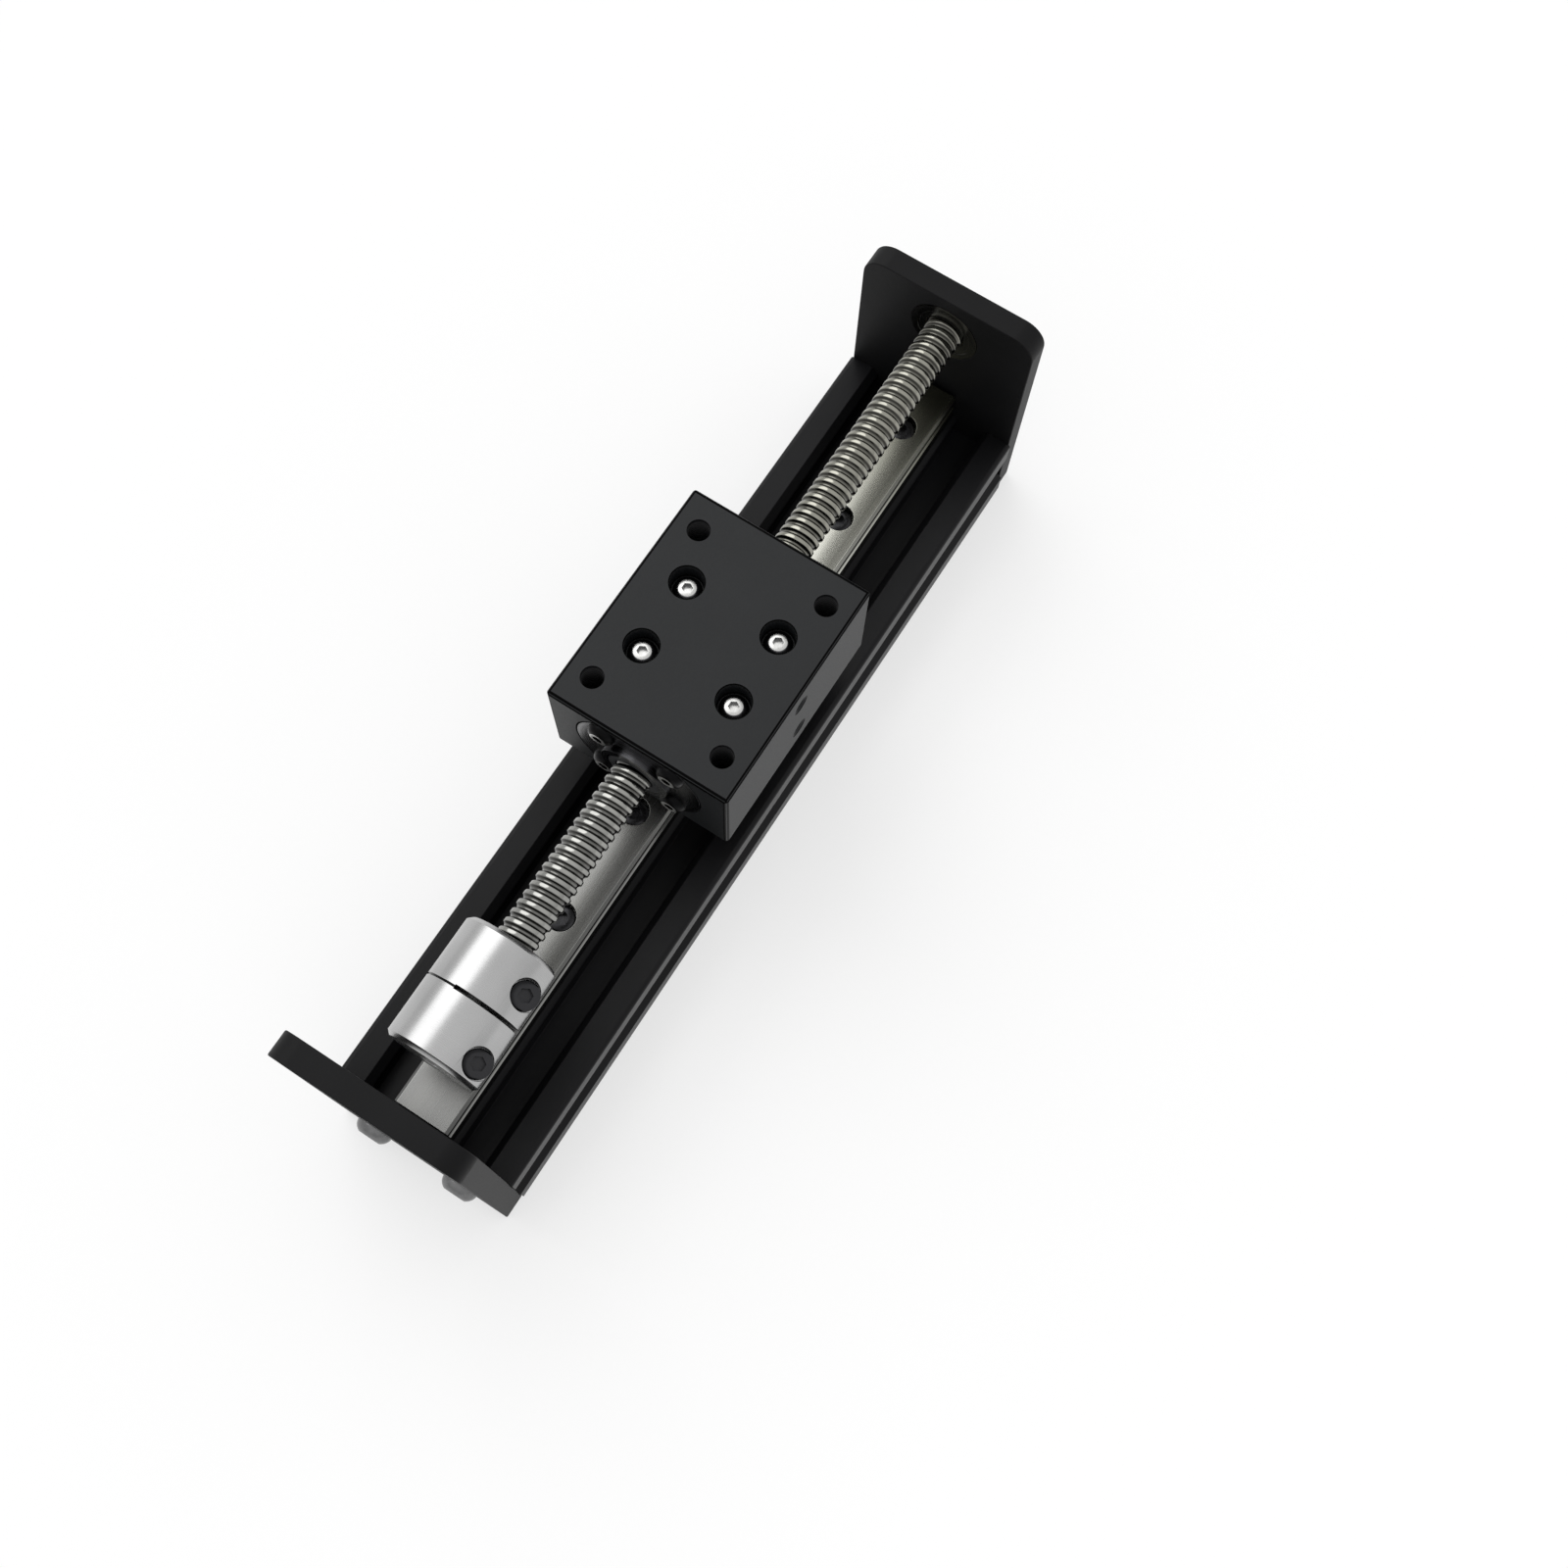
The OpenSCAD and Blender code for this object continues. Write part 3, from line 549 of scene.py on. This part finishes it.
def screw_finish(name, dark, light, flat, metallic=1.0, rough=(0.2, 0.36), grain=0.01 * MM):
    """Plated or blackened fastener steel, uneven in its coat, with a painted highlight on the
    head's face.
    """
    m = Finish(name, Metallic=metallic)
    coat = m.noise(m.place, scale=900.0, detail=3.0)
    face = m.put("ShaderNodeAttribute", out="Fac", attribute_name="shine")
    m.colour(m.tint(face, m.cloudy(coat, dark, light), srgb(flat)))
    m.roughness(m.spread(coat, *rough))
    m.bump(coat, grain)
    return m.material


def moulded(name, dark, light, rough=(0.42, 0.6), depth=0.02 * MM):
    """Moulded plastic or rubber with a fine spark-eroded grain."""
    m = Finish(name, Metallic=0.0)
    grain = m.noise(m.place, scale=1600.0, detail=2.0)
    m.colour(m.cloudy(m.noise(m.place, scale=60.0), dark, light))
    m.roughness(m.spread(grain, *rough))
    m.bump(grain, depth)
    return m.material


def thread_steel(name, dark, light, far, wall, rough=(0.13, 0.2), most=0.95):
    """Ground thread: bright crests and groove floors, which change to another tone past the
    carriage, a painted reflection. The darker tone of the groove's walls is painted shade that
    stands in for what they mirror."""
    m = Finish(name, Metallic=1.0)
    marked = m.put("ShaderNodeAttribute", out="Fac", attribute_name="wall")
    film = m.noise(m.place, scale=160.0, detail=3.0)
    # Painted reflection: another tone past the carriage.
    bright = m.tint(m.far_end(*STEEL_FADE), m.cloudy(film, dark, light), srgb(far))
    # The groove's walls take painted shade.
    m.colour(m.tint(m.span(marked, 0.0, 1.0, 0.0, most), bright, srgb(wall)))
    m.roughness(m.spread(film, *rough))
    return m.material


# ---- camera, light and floor -----------------------------------------------


def make_camera():
    """The viewing angle: high over the motor end, turned so that the travel runs up the view."""
    place = Vector((-0.09796, -0.07343, 0.36285))
    right = Vector((0.53645, -0.84357, 0.02474))
    down = Vector((-0.79757, -0.51634, -0.31189))
    ahead = Vector((0.27587, 0.14758, -0.94980))
    turn = Matrix((right, -down, -ahead)).transposed().to_4x4()
    camera = bpy.data.cameras.new("view")
    camera.sensor_width = 36.0
    camera.lens = 41.545
    camera.clip_start = 0.01
    camera.clip_end = 20.0
    seen = bpy.data.objects.new("view", camera)
    seen.matrix_world = Matrix.Translation(place) @ turn
    bpy.context.scene.collection.objects.link(seen)
    bpy.context.scene.camera = seen


def sun_light(name, source, spread, power):
    """A soft distant light that comes from the direction of source."""
    lamp = bpy.data.lights.new(name, "SUN")
    lamp.angle = math.radians(spread)
    lamp.energy = power
    holder = bpy.data.objects.new(name, lamp)
    holder.rotation_euler = Vector(source).to_track_quat("Z", "Y").to_euler()
    bpy.context.scene.collection.objects.link(holder)


def make_world():
    """A plain soft surround, brighter overhead, which the camera sees as white."""
    world = bpy.data.worlds.new("studio")
    world.use_nodes = True
    bpy.context.scene.world = world
    tree = Tree(world.node_tree)
    way = tree.put("ShaderNodeTexCoord", out="Generated")
    height = tree.put("ShaderNodeSeparateXYZ", way, out="Z")
    level = tree.span(height, *SKY_HEIGHTS, HORIZON_LIGHT, OVERHEAD_LIGHT)
    ray = tree.put("ShaderNodeLightPath").node.outputs
    mirrored = tree.math("MAXIMUM", ray["Is Glossy Ray"], ray["Is Transmission Ray"])
    share = tree.math("MULTIPLY", mirrored, FLOOR_GLOW)
    share = tree.math("MAXIMUM", share, ray["Is Camera Ray"])
    level = tree.span(share, 0.0, 1.0, level, 1.0)
    back = next(n for n in world.node_tree.nodes if n.type == "BACKGROUND")
    back.inputs["Color"].default_value = WHITE
    tree.feed(back.inputs["Strength"], level)


def make_floor():
    """A plain pale floor just under the base."""
    mesh = bpy.data.meshes.new("floor")
    corners = [(x * FLOOR_HALF, y * FLOOR_HALF, -FLOOR_DROP)
               for x, y in ((-1, -1), (1, -1), (1, 1), (-1, 1))]
    mesh.from_pydata(corners, [], [(0, 1, 2, 3)])
    floor = bpy.data.objects.new("floor", mesh)
    bpy.context.scene.collection.objects.link(floor)
    paper = Finish("paper", Roughness=0.9)
    paper.shader.inputs["Specular IOR Level"].default_value = 0.0
    fibre = paper.noise(paper.place, scale=700.0)
    paper.colour(paper.tint(fibre, *PAPER_TONES))
    ray = paper.put("ShaderNodeLightPath").node.outputs
    seen = paper.math("MAXIMUM", ray["Is Camera Ray"], ray["Is Glossy Ray"])
    seen = paper.math("MAXIMUM", seen, ray["Is Transmission Ray"])
    share = paper.math("MULTIPLY", seen, FLOOR_GLOW)
    white = paper.put("ShaderNodeEmission", WHITE, 1.0)
    mixed = paper.put("ShaderNodeMixShader", share, paper.shader.outputs[0], white)
    end = next(n for n in paper.tree.nodes if n.type == "OUTPUT_MATERIAL")
    paper.tree.links.new(mixed, end.inputs["Surface"])
    paint(floor, paper.material)


make_camera()
make_world()
make_floor()
sun_light("key", KEY_FROM, KEY_SPREAD, KEY_POWER)
bpy.context.scene.view_settings.view_transform = "Standard"


# ---- finishes --------------------------------------------------------------

screw_low, screw_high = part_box("ball_screw")
screw_line = Vector((0, 0, (screw_low.z + screw_high.z) / 2))

anodised_base = black_anodised("anodised_base", "0a0a0b", "121214", lay=(0.06, 1, 1), ior=1.25)
anodised_plate = black_anodised("anodised_plate", "0f0f10", "151516", rough=(0.46, 0.56),
                                ior=1.22)
anodised_carriage = black_anodised("anodised_carriage", "101214", "16181a", rough=(0.46, 0.56),
                                   ior=1.36)
# The carriage's rounded edges take a painted shade, darker than its faces.
anodised_edge = black_anodised("anodised_edge", "030303", "070707", ior=1.08)
thread_wall = black_anodised("thread_wall", "121214", "18181a", rough=(0.4, 0.5), ior=1.3)
# The rail's tones beyond the carriage and at the far end are painted reflections, and its upright
# sides take painted shade.
rail_steel = ground_steel("rail_steel", "848483", "949491", (0.25, 0.28), grain=0.0001 * MM,
                          side_shade=0.4, beyond="dcdcd4", far="68685a")
# The screw's tone past the carriage is a painted reflection, and its groove walls take painted
# shade.
screw_steel = thread_steel("screw_steel", "8d8d8a", "a2a29e", far="94938a", wall="252422")
bearing_steel = turned_metal("bearing_steel", "50504e", "61615e", screw_line, (0.18, 0.28))
ball_steel = ground_steel("ball_steel", "b4b4b2", "c4c4c2", (0.05, 0.1), (300, 300, 300))
nut_steel = turned_metal("nut_steel", "3c3c3e", "4c4c4e", screw_line, (0.22, 0.34))
coupling_low, coupling_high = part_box("coupling")
# The groove round the coupling's middle gets a painted shade on its floor.
coupling_groove_shade = ((coupling_low.x + coupling_high.x) / 2, 0.19 * MM, "1c1c1c")
coupling_aluminium = turned_metal("coupling_aluminium", "a9a9a9", "b2b2b2", screw_line,
                                  (0.26, 0.285), grain=0.0003 * MM, seam=coupling_groove_shade)
# The flat colours of the screw finishes are painted highlights on the heads' faces.
bright_screws = screw_finish("bright_screws", "4a4a4c", "626264", "c0c0be")
flange_screws = screw_finish("flange_screws", "080809", "0e0e0f", "c8c8c6", 0.9, (0.3, 0.4))
blackened_screws = screw_finish("blackened_screws", "101011", "1c1c1e", "323234", 0.8,
                                (0.2, 0.32))
cap_plastic = moulded("cap_plastic", "18191b", "212225")
seal_rubber = moulded("seal_rubber", "7a2a20", "8c3428", (0.5, 0.7))
cage_brass = turned_metal("cage_brass", "8f7436", "a98a48", screw_line, (0.2, 0.35))

CAD_FINISHES = {
    "bearing_outer_ring": bearing_steel,
    "bearing_inner_ring": bearing_steel,
    "bearing_shields": bearing_steel,
    "bearing_cage": cage_brass,
    "retaining_ring": blackened_screws,
    "guide_block": rail_steel,
    "guide_block_end_caps": cap_plastic,
    "guide_block_end_seals": seal_rubber,
    "guide_block_cap_screws": bright_screws,
    "ball_nut_wipers": cap_plastic,
    "ball_nut_return_buttons": cap_plastic,
}
for node, material in CAD_FINISHES.items():
    for mesh_slot in nodes[node].material_slots:
        mesh_slot.material = material


# ---- machined pieces -------------------------------------------------------

carriage_low, carriage_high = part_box("carriage")
carriage_middle = (carriage_low + carriage_high) / 2
LOAD_HOLES = [
    Vector((carriage_middle.x + x * LOAD_PITCH_X / 2, carriage_middle.y + y * LOAD_PITCH_Y / 2,
            carriage_high.z - TAP_LIP))
    for x in (-1, 1)
    for y in (-1, 1)
]
SIDE_HOLES = [
    Vector((carriage_middle.x + SIDE_SHIFT, carriage_low.y,
            carriage_middle.z + z * SIDE_PITCH / 2))
    for z in (-1, 1)
]
SIDE_LIP = ACROSS * (SIDE_MOUTH - SIDE_CORE)
# Each hole to open: its centre, its way in, where it ends, and its radius before and after.
CARRIAGE_HOLES = [(place, UP, place, TAP_CORE, TAP_MAJOR) for place in LOAD_HOLES] + [
    (place, ACROSS, place + SIDE_LIP, SIDE_CORE, SIDE_MOUTH) for place in SIDE_HOLES
]

MACHINED = [
    ("base_extrusion", "extruded_base", PROFILE_BREAK, "base", "anodised_base", anodised_base),
    ("guide_rail", "ground_rail", PROFILE_BREAK, "base", "rail_steel", rail_steel),
    ("motor_plate", "milled_motor_plate", PLATE_BREAK, "base", "anodised_plate", anodised_plate),
    ("bearing_plate", "milled_bearing_plate", PLATE_BREAK, "base", "anodised_plate",
     anodised_plate),
    ("carriage", "milled_carriage", CARRIAGE_BREAK, "carriage", "anodised_carriage",
     anodised_carriage),
    ("coupling", "turned_coupling", COUPLING_BREAK, "screw", "coupling_aluminium",
     coupling_aluminium),
    ("ball_nut", "turned_nut", NUT_BREAK, "carriage", "nut_steel", nut_steel),
]
for node, name, width, body, slot, material in MACHINED:
    on_carriage = node == "carriage"
    piece = broken_edges(node, name, width, holes=CARRIAGE_HOLES if on_carriage else ())
    piece.data.materials[0] = material
    # The carriage's edges take the painted edge shade.
    piece.data.materials[1] = anodised_edge if on_carriage else material
    fit(piece, body, slot, node)


# ---- tapped holes ----------------------------------------------------------


def tapped_holes():
    """An internal thread on each point, from its mouth down: columns follow the helix and then
    the sleeve's plain outside, rows go round."""
    m = Maker(
        "tapped hole",
        {
            "Depth": 10 * MM,
            "Pitch": 0.8 * MM,
            "Core Radius": TAP_CORE,
            "Outer Radius": TAP_MAJOR,
            "Sides": 28,
            "Material": thread_wall,
        },
    )
    turns = m.math("ADD", m.math("CEIL", m.math("DIVIDE", m.size("Depth"), m.size("Pitch"))), 2.0)
    per_turn = float(len(TAP_PHASES))
    inner = m.math("MULTIPLY", turns, per_turn)
    grid, column, around = m.sheet(m.math("ADD", inner, 3.0))
    on_thread = m.math("MODULO", column, m.math("ADD", inner, 2.0))
    turn = m.math("FLOOR", m.math("DIVIDE", on_thread, per_turn))
    step = m.math("SUBTRACT", on_thread, m.math("MULTIPLY", turn, per_turn))
    phase = m.switch(step, TAP_PHASES)
    core, outer = m.size("Core Radius"), m.size("Outer Radius")
    root = m.math("SUBTRACT", outer, TAP_WALL)
    thread_radius = m.switch(step, [core, core, root, root])
    pitches = m.math("SUBTRACT", m.math("ADD", m.math("ADD", turn, phase), around), 1.0)
    below = m.math("MULTIPLY", m.size("Depth"), -1.0)
    z_free = m.math("MULTIPLY_ADD", pitches, m.size("Pitch"), below)
    z_thread = m.put("ShaderNodeClamp", z_free, below, 0.0)
    outside = m.math("SUBTRACT", column, inner)
    is_thread = m.math("ADD", m.math("LESS_THAN", outside, 0.0),
                       m.math("GREATER_THAN", outside, 1.5))
    z_wall = m.math("MULTIPLY", below, m.math("MAXIMUM", outside, 0.0))
    z = m.put("ShaderNodeMix", is_thread, None, z_wall, z_thread, data_type="FLOAT")
    radius = m.put("ShaderNodeMix", is_thread, None, outer, thread_radius, data_type="FLOAT")
    sleeve = m.rolled(grid, *m.circle(radius, around), z, THREAD_WELD)
    m.close(m.put("GeometryNodeInstanceOnPoints", m.start.outputs[0], _Instance=sleeve))
    return m


threads = tapped_holes().make("carriage_hole_threads", LOAD_HOLES)
fit(finish_mesh(outward(threads), TAP_SMOOTH), "carriage", "anodised_carriage", "carriage")


# ---- ball screw ------------------------------------------------------------


def thread_maker():
    """The thread's tube: columns follow the groove turn by turn, rows go round the axis. The
    groove fades over the run-out at both ends, and its walls are marked for a painted shade."""
    m = Maker(
        "ball thread",
        {
            "Start": 0.0,
            "End": 0.1,
            "Radius": 4 * MM,
            "Lead": LEAD,
            "Groove Depth": GROOVE_DEPTH,
            "Run Out": 0.2,
            "Axis Height": 0.0,
            "Sides": THREAD_SIDES,
            "Material": screw_steel,
        },
    )
    length = m.math("SUBTRACT", m.size("End"), m.size("Start"))
    turns = m.math("ADD", m.math("CEIL", m.math("DIVIDE", length, m.size("Lead"))), 2.0)
    per_turn = float(len(GROOVE))
    grid, column, around = m.sheet(m.math("ADD", m.math("MULTIPLY", turns, per_turn), 1.0))
    turn = m.math("FLOOR", m.math("DIVIDE", m.math("ADD", column, 0.5), per_turn))
    step = m.math("SUBTRACT", column, m.math("MULTIPLY", turn, per_turn))
    phase, depth, wall = (m.switch(step, row) for row in zip(*GROOVE))
    pitches = m.math("ADD", m.math("SUBTRACT", m.math("ADD", turn, phase), 1.0), around)
    x_free = m.math("MULTIPLY_ADD", pitches, m.size("Lead"), m.size("Start"))
    x = m.put("ShaderNodeClamp", x_free, m.size("Start"), m.size("End"))
    fade = m.math("MULTIPLY", m.size("Lead"), m.size("Run Out"))
    from_start = m.math("DIVIDE", m.math("SUBTRACT", x, m.size("Start")), fade)
    from_end = m.math("DIVIDE", m.math("SUBTRACT", m.size("End"), x), fade)
    ends = m.math("MINIMUM", m.math("MINIMUM", from_start, from_end), 1.0)
    cut = m.math("MULTIPLY", m.math("MULTIPLY", depth, ends), m.size("Groove Depth"))
    y, rise = m.circle(m.math("SUBTRACT", m.size("Radius"), cut), around)
    z = m.math("ADD", rise, m.size("Axis Height"))
    marked = m.put("GeometryNodeStoreNamedAttribute", grid, None, "wall",
                   m.math("MULTIPLY", wall, ends), data_type="FLOAT", domain="POINT")
    m.close(m.rolled(marked, x, y, z, THREAD_WELD))
    return m


def make_ball_screw():
    """The threaded length with its plain ends and the journal, closed into one mesh."""
    radius = (screw_high.z - screw_low.z) / 2
    bearing_low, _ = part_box("bearing_inner_ring")
    ring_low, ring_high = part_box("retaining_ring")
    journal, tip = JOURNAL_RADIUS, END_CHAMFER
    start, end = screw_low.x + tip, bearing_low.x - tip
    piece = thread_maker().make(
        "threaded_screw",
        [(0, 0, 0)],
        **{"Start": start, "End": end, "Radius": radius, "Axis Height": screw_line.z},
    )
    near = turned([(screw_low.x, 0), (screw_low.x, radius - tip), (start, radius)], screw_line)
    groove = (ring_high.z - ring_low.z) / 2 - RING_BAND
    far = turned(
        [
            (end, radius),
            (bearing_low.x, radius - tip),
            (bearing_low.x, journal),
            (ring_low.x, journal),
            (ring_low.x, groove),
            (ring_high.x, groove),
            (ring_high.x, journal),
            (screw_high.x - tip, journal),
            (screw_high.x, journal - tip),
            (screw_high.x, 0),
        ],
        screw_line,
    )
    joined = bmesh.new()
    joined.from_mesh(piece.data)
    for part in (near, far):
        mesh = bpy.data.meshes.new("end")
        part.to_mesh(mesh)
        part.free()
        joined.from_mesh(mesh)
        bpy.data.meshes.remove(mesh)
    bmesh.ops.remove_doubles(joined, verts=joined.verts, dist=END_WELD)
    bmesh.ops.recalc_face_normals(joined, faces=joined.faces)
    joined.to_mesh(piece.data)
    joined.free()
    return finish_mesh(piece, THREAD_SMOOTH)


fit(paint(make_ball_screw(), screw_steel), "screw", "screw_steel", "ball_screw")


# ---- screws ----------------------------------------------------------------


def set_screws(m, body):
    """Cuts the hexagon socket, marks the faces square to the axis, and a share of the rest, for a
    painted highlight, and puts one screw on each point, turned as told."""
    depth = m.math("MULTIPLY", m.size("Socket Depth"), 2.0)
    hexagon = m.put(
        "GeometryNodeMeshCylinder",
        _Vertices=6,
        _Radius=m.size("Socket Radius"),
        _Depth=depth,
        fill_type="NGON",
    )
    lift = m.put("ShaderNodeCombineXYZ", 0.0, 0.0, m.size("Head Height"))
    key = m.put("GeometryNodeTransform", hexagon, _Translation=lift)
    cut = m.put("GeometryNodeMeshBoolean", body, [key], operation="DIFFERENCE", solver="EXACT")
    facing = m.put("ShaderNodeSeparateXYZ", m.put("GeometryNodeInputNormal"), out="Z")
    # Faces that take the painted highlight.
    bright = m.math("GREATER_THAN", facing, m.size("Bright Above"))
    shine = m.math("MAXIMUM", bright, m.size("Dome Highlight"))
    marked = m.put("GeometryNodeStoreNamedAttribute", cut, None, "shine", shine,
                   data_type="FLOAT", domain="FACE")
    m.close(m.put("GeometryNodeInstanceOnPoints", m.start.outputs[0], _Instance=marked,
                  _Rotation=m.size("Turn")))


def sized(thread, length, head, height, socket, depth, **more):
    """The sizes of one kind of screw, from millimetres."""
    labels = ("Thread Radius", "Length", "Head Radius", "Head Height", "Socket Radius",
              "Socket Depth")
    given = (thread, length, head, height, socket, depth)
    return {**{label: value * MM for label, value in zip(labels, given)}, **more}


SHORT_M3 = sized(1.45, 8, 2.745, 3.0, 1.44, 1.65, **{"Bright Above": 0.3})
BUTTON_M3 = sized(1.45, 10, 2.845, 1.65, 1.08, 1.1)
LONG_BUTTON_M3 = sized(1.45, 25, 2.845, 1.65, 1.08, 1.1)
BUTTON_M4 = sized(1.95, 14, 3.8, 2.2, 1.44, 1.46, **{"Dome Highlight": 0.16})

# The painted highlight goes on head faces that face up more than Bright Above, and the dome takes
# a share of it.
# What all screws share unless their own sizes say otherwise.
ANY_SCREW = {
    "Edge": 0.32 * MM,
    "Dome Highlight": 0.0,
    "Bright Above": 0.97,
    "Sides": 64,
    "Turn": (0.0, 0.0, 0.0),
    "Material": bright_screws,
}


def turned_body(m, profile):
    """A body turned about Z: profile is (height, radius) from the foot to the top."""
    grid, column, around = m.sheet(len(profile))
    heights, radii = (m.switch(column, row) for row in zip(*profile))
    return m.rolled(grid, *m.circle(radii, around, way=-1), heights, WELD)


def cap_screws():
    """Socket-head cap screw with a broken head edge."""
    m = Maker("cap screw", {**SHORT_M3, **ANY_SCREW})
    head, edge, thread = m.size("Head Radius"), m.size("Edge"), m.size("Thread Radius")
    below = m.math("MULTIPLY", m.size("Length"), -1.0)
    half = m.math("MULTIPLY", edge, CAP_CORNER)
    profile = [
        (below, 0.0),
        (below, m.math("SUBTRACT", thread, edge)),
        (m.math("ADD", below, edge), thread),
        (0.0, thread),
        (0.0, m.math("SUBTRACT", head, half)),
        (half, head),
        (m.math("SUBTRACT", m.size("Head Height"), edge), head),
        (m.math("SUBTRACT", m.size("Head Height"), half), m.math("SUBTRACT", head, half)),
        (m.size("Head Height"), m.math("SUBTRACT", head, edge)),
        (m.size("Head Height"), 0.0),
    ]
    set_screws(m, turned_body(m, profile))
    return m


def button_screws():
    """Button-head screw: a low dome over the shank."""
    m = Maker("button screw", {**BUTTON_M3, **ANY_SCREW})
    head, rise, thread = m.size("Head Radius"), m.size("Head Height"), m.size("Thread Radius")
    edge = m.size("Edge")
    below = m.math("MULTIPLY", m.size("Length"), -1.0)
    profile = [
        (below, 0.0),
        (below, m.math("SUBTRACT", thread, edge)),
        (m.math("ADD", below, edge), thread),
        (0.0, thread),
        (0.0, m.math("SUBTRACT", head, m.math("MULTIPLY", edge, BUTTON_FOOT))),
    ]
    for angle in range(0, DOME_TOP + 1, DOME_STEP):
        share = math.radians(angle)
        lift = math.sin(share) / math.sin(math.radians(DOME_TOP))
        profile.append((m.math("MULTIPLY", rise, lift),
                        m.math("MULTIPLY", head, math.cos(share * DOME_FLATNESS))))
    profile.append((rise, 0.0))
    set_screws(m, turned_body(m, profile))
    return m


CAP_SCREWS = cap_screws()
BUTTON_SCREWS = button_screws()


def loose_parts(node):
    """The corners of each separate solid of a CAD node."""
    work = bmesh.new()
    work.from_mesh(nodes[node].data)
    bmesh.ops.remove_doubles(work, verts=work.verts, dist=WELD)
    left, parts = set(work.verts), []
    while left:
        group, edge = set(), [left.pop()]
        while edge:
            vert = edge.pop()
            group.add(vert)
            near = {e.other_vert(vert) for e in vert.link_edges} & left
            left -= near
            edge.extend(near)
        parts.append([v.co.copy() for v in group])
    work.free()
    return sorted(parts, key=lambda spots: tuple(round(v, 6) for v in middle(spots)))


def middle(spots):
    """The centre of the box round some points."""
    return Vector((min(p[i] for p in spots) + max(p[i] for p in spots)) / 2 for i in range(3))


def seat_screws(maker, node, name, body, slot, material, way, sizes):
    """Puts a screw on each of a CAD node's solids: way is the direction its head points."""
    seats = []
    for spots in loose_parts(node):
        top = max(p.dot(way) for p in spots)
        head = middle([p for p in spots if p.dot(way) > top - FACE_PLAY])
        seats.append(head - way * sizes["Head Height"])
    turn = Vector(UP.rotation_difference(way).to_euler())
    piece = maker.make(name, seats, **sizes, Turn=turn, Material=material)
    fit(finish_mesh(piece, SCREW_SMOOTH), body, slot, node)


CLAMP_WAY = Vector((0, -math.sin(CLAMP_TURN), math.cos(CLAMP_TURN)))

for maker, node, name, body, slot, material, way, sizes in (
    (CAP_SCREWS, "rail_screws", "rail_cap_screws", "base", "blackened_screws",
     blackened_screws, UP, SHORT_M3),
    (CAP_SCREWS, "coupling_screws", "clamp_cap_screws", "screw", "blackened_screws",
     blackened_screws, CLAMP_WAY, SHORT_M3),
    (BUTTON_SCREWS, "carriage_screws", "carriage_button_screws", "carriage",
     "bright_screws", bright_screws, UP, LONG_BUTTON_M3),
    (BUTTON_SCREWS, "ball_nut_screws", "flange_button_screws", "carriage",
     "bright_screws", flange_screws, -AXIS, BUTTON_M3),
    (BUTTON_SCREWS, "motor_plate_screws", "motor_plate_button_screws", "base",
     "bright_screws", bright_screws, -AXIS, BUTTON_M4),
    (BUTTON_SCREWS, "bearing_plate_screws", "bearing_plate_button_screws", "base",
     "bright_screws", bright_screws, AXIS, BUTTON_M4),
):
    seat_screws(maker, node, name, body, slot, material, way, sizes)


# ---- balls -----------------------------------------------------------------


def ball_maker():
    """A polished ball on each point."""
    m = Maker("ball row", {"Radius": 1.2 * MM, "Subdivisions": 3, "Material": ball_steel})
    ball = m.put("GeometryNodeMeshIcoSphere", _Radius=m.size("Radius"),
                 _Subdivisions=m.size("Subdivisions"))
    m.close(m.put("GeometryNodeInstanceOnPoints", m.start.outputs[0], _Instance=ball))
    return m


BALLS = ball_maker()
for node, name, body in (
    ("guide_block_balls", "guide_ball_rows", "carriage"),
    ("bearing_balls", "bearing_ball_ring", "base"),
):
    parts = loose_parts(node)
    radius = max(p.y for p in parts[0]) - middle(parts[0]).y
    row = BALLS.make(name, [middle(spots) for spots in parts], Radius=radius * BALL_SHARE)
    fit(finish_mesh(row, BALL_SMOOTH), body, "ball_steel", node)
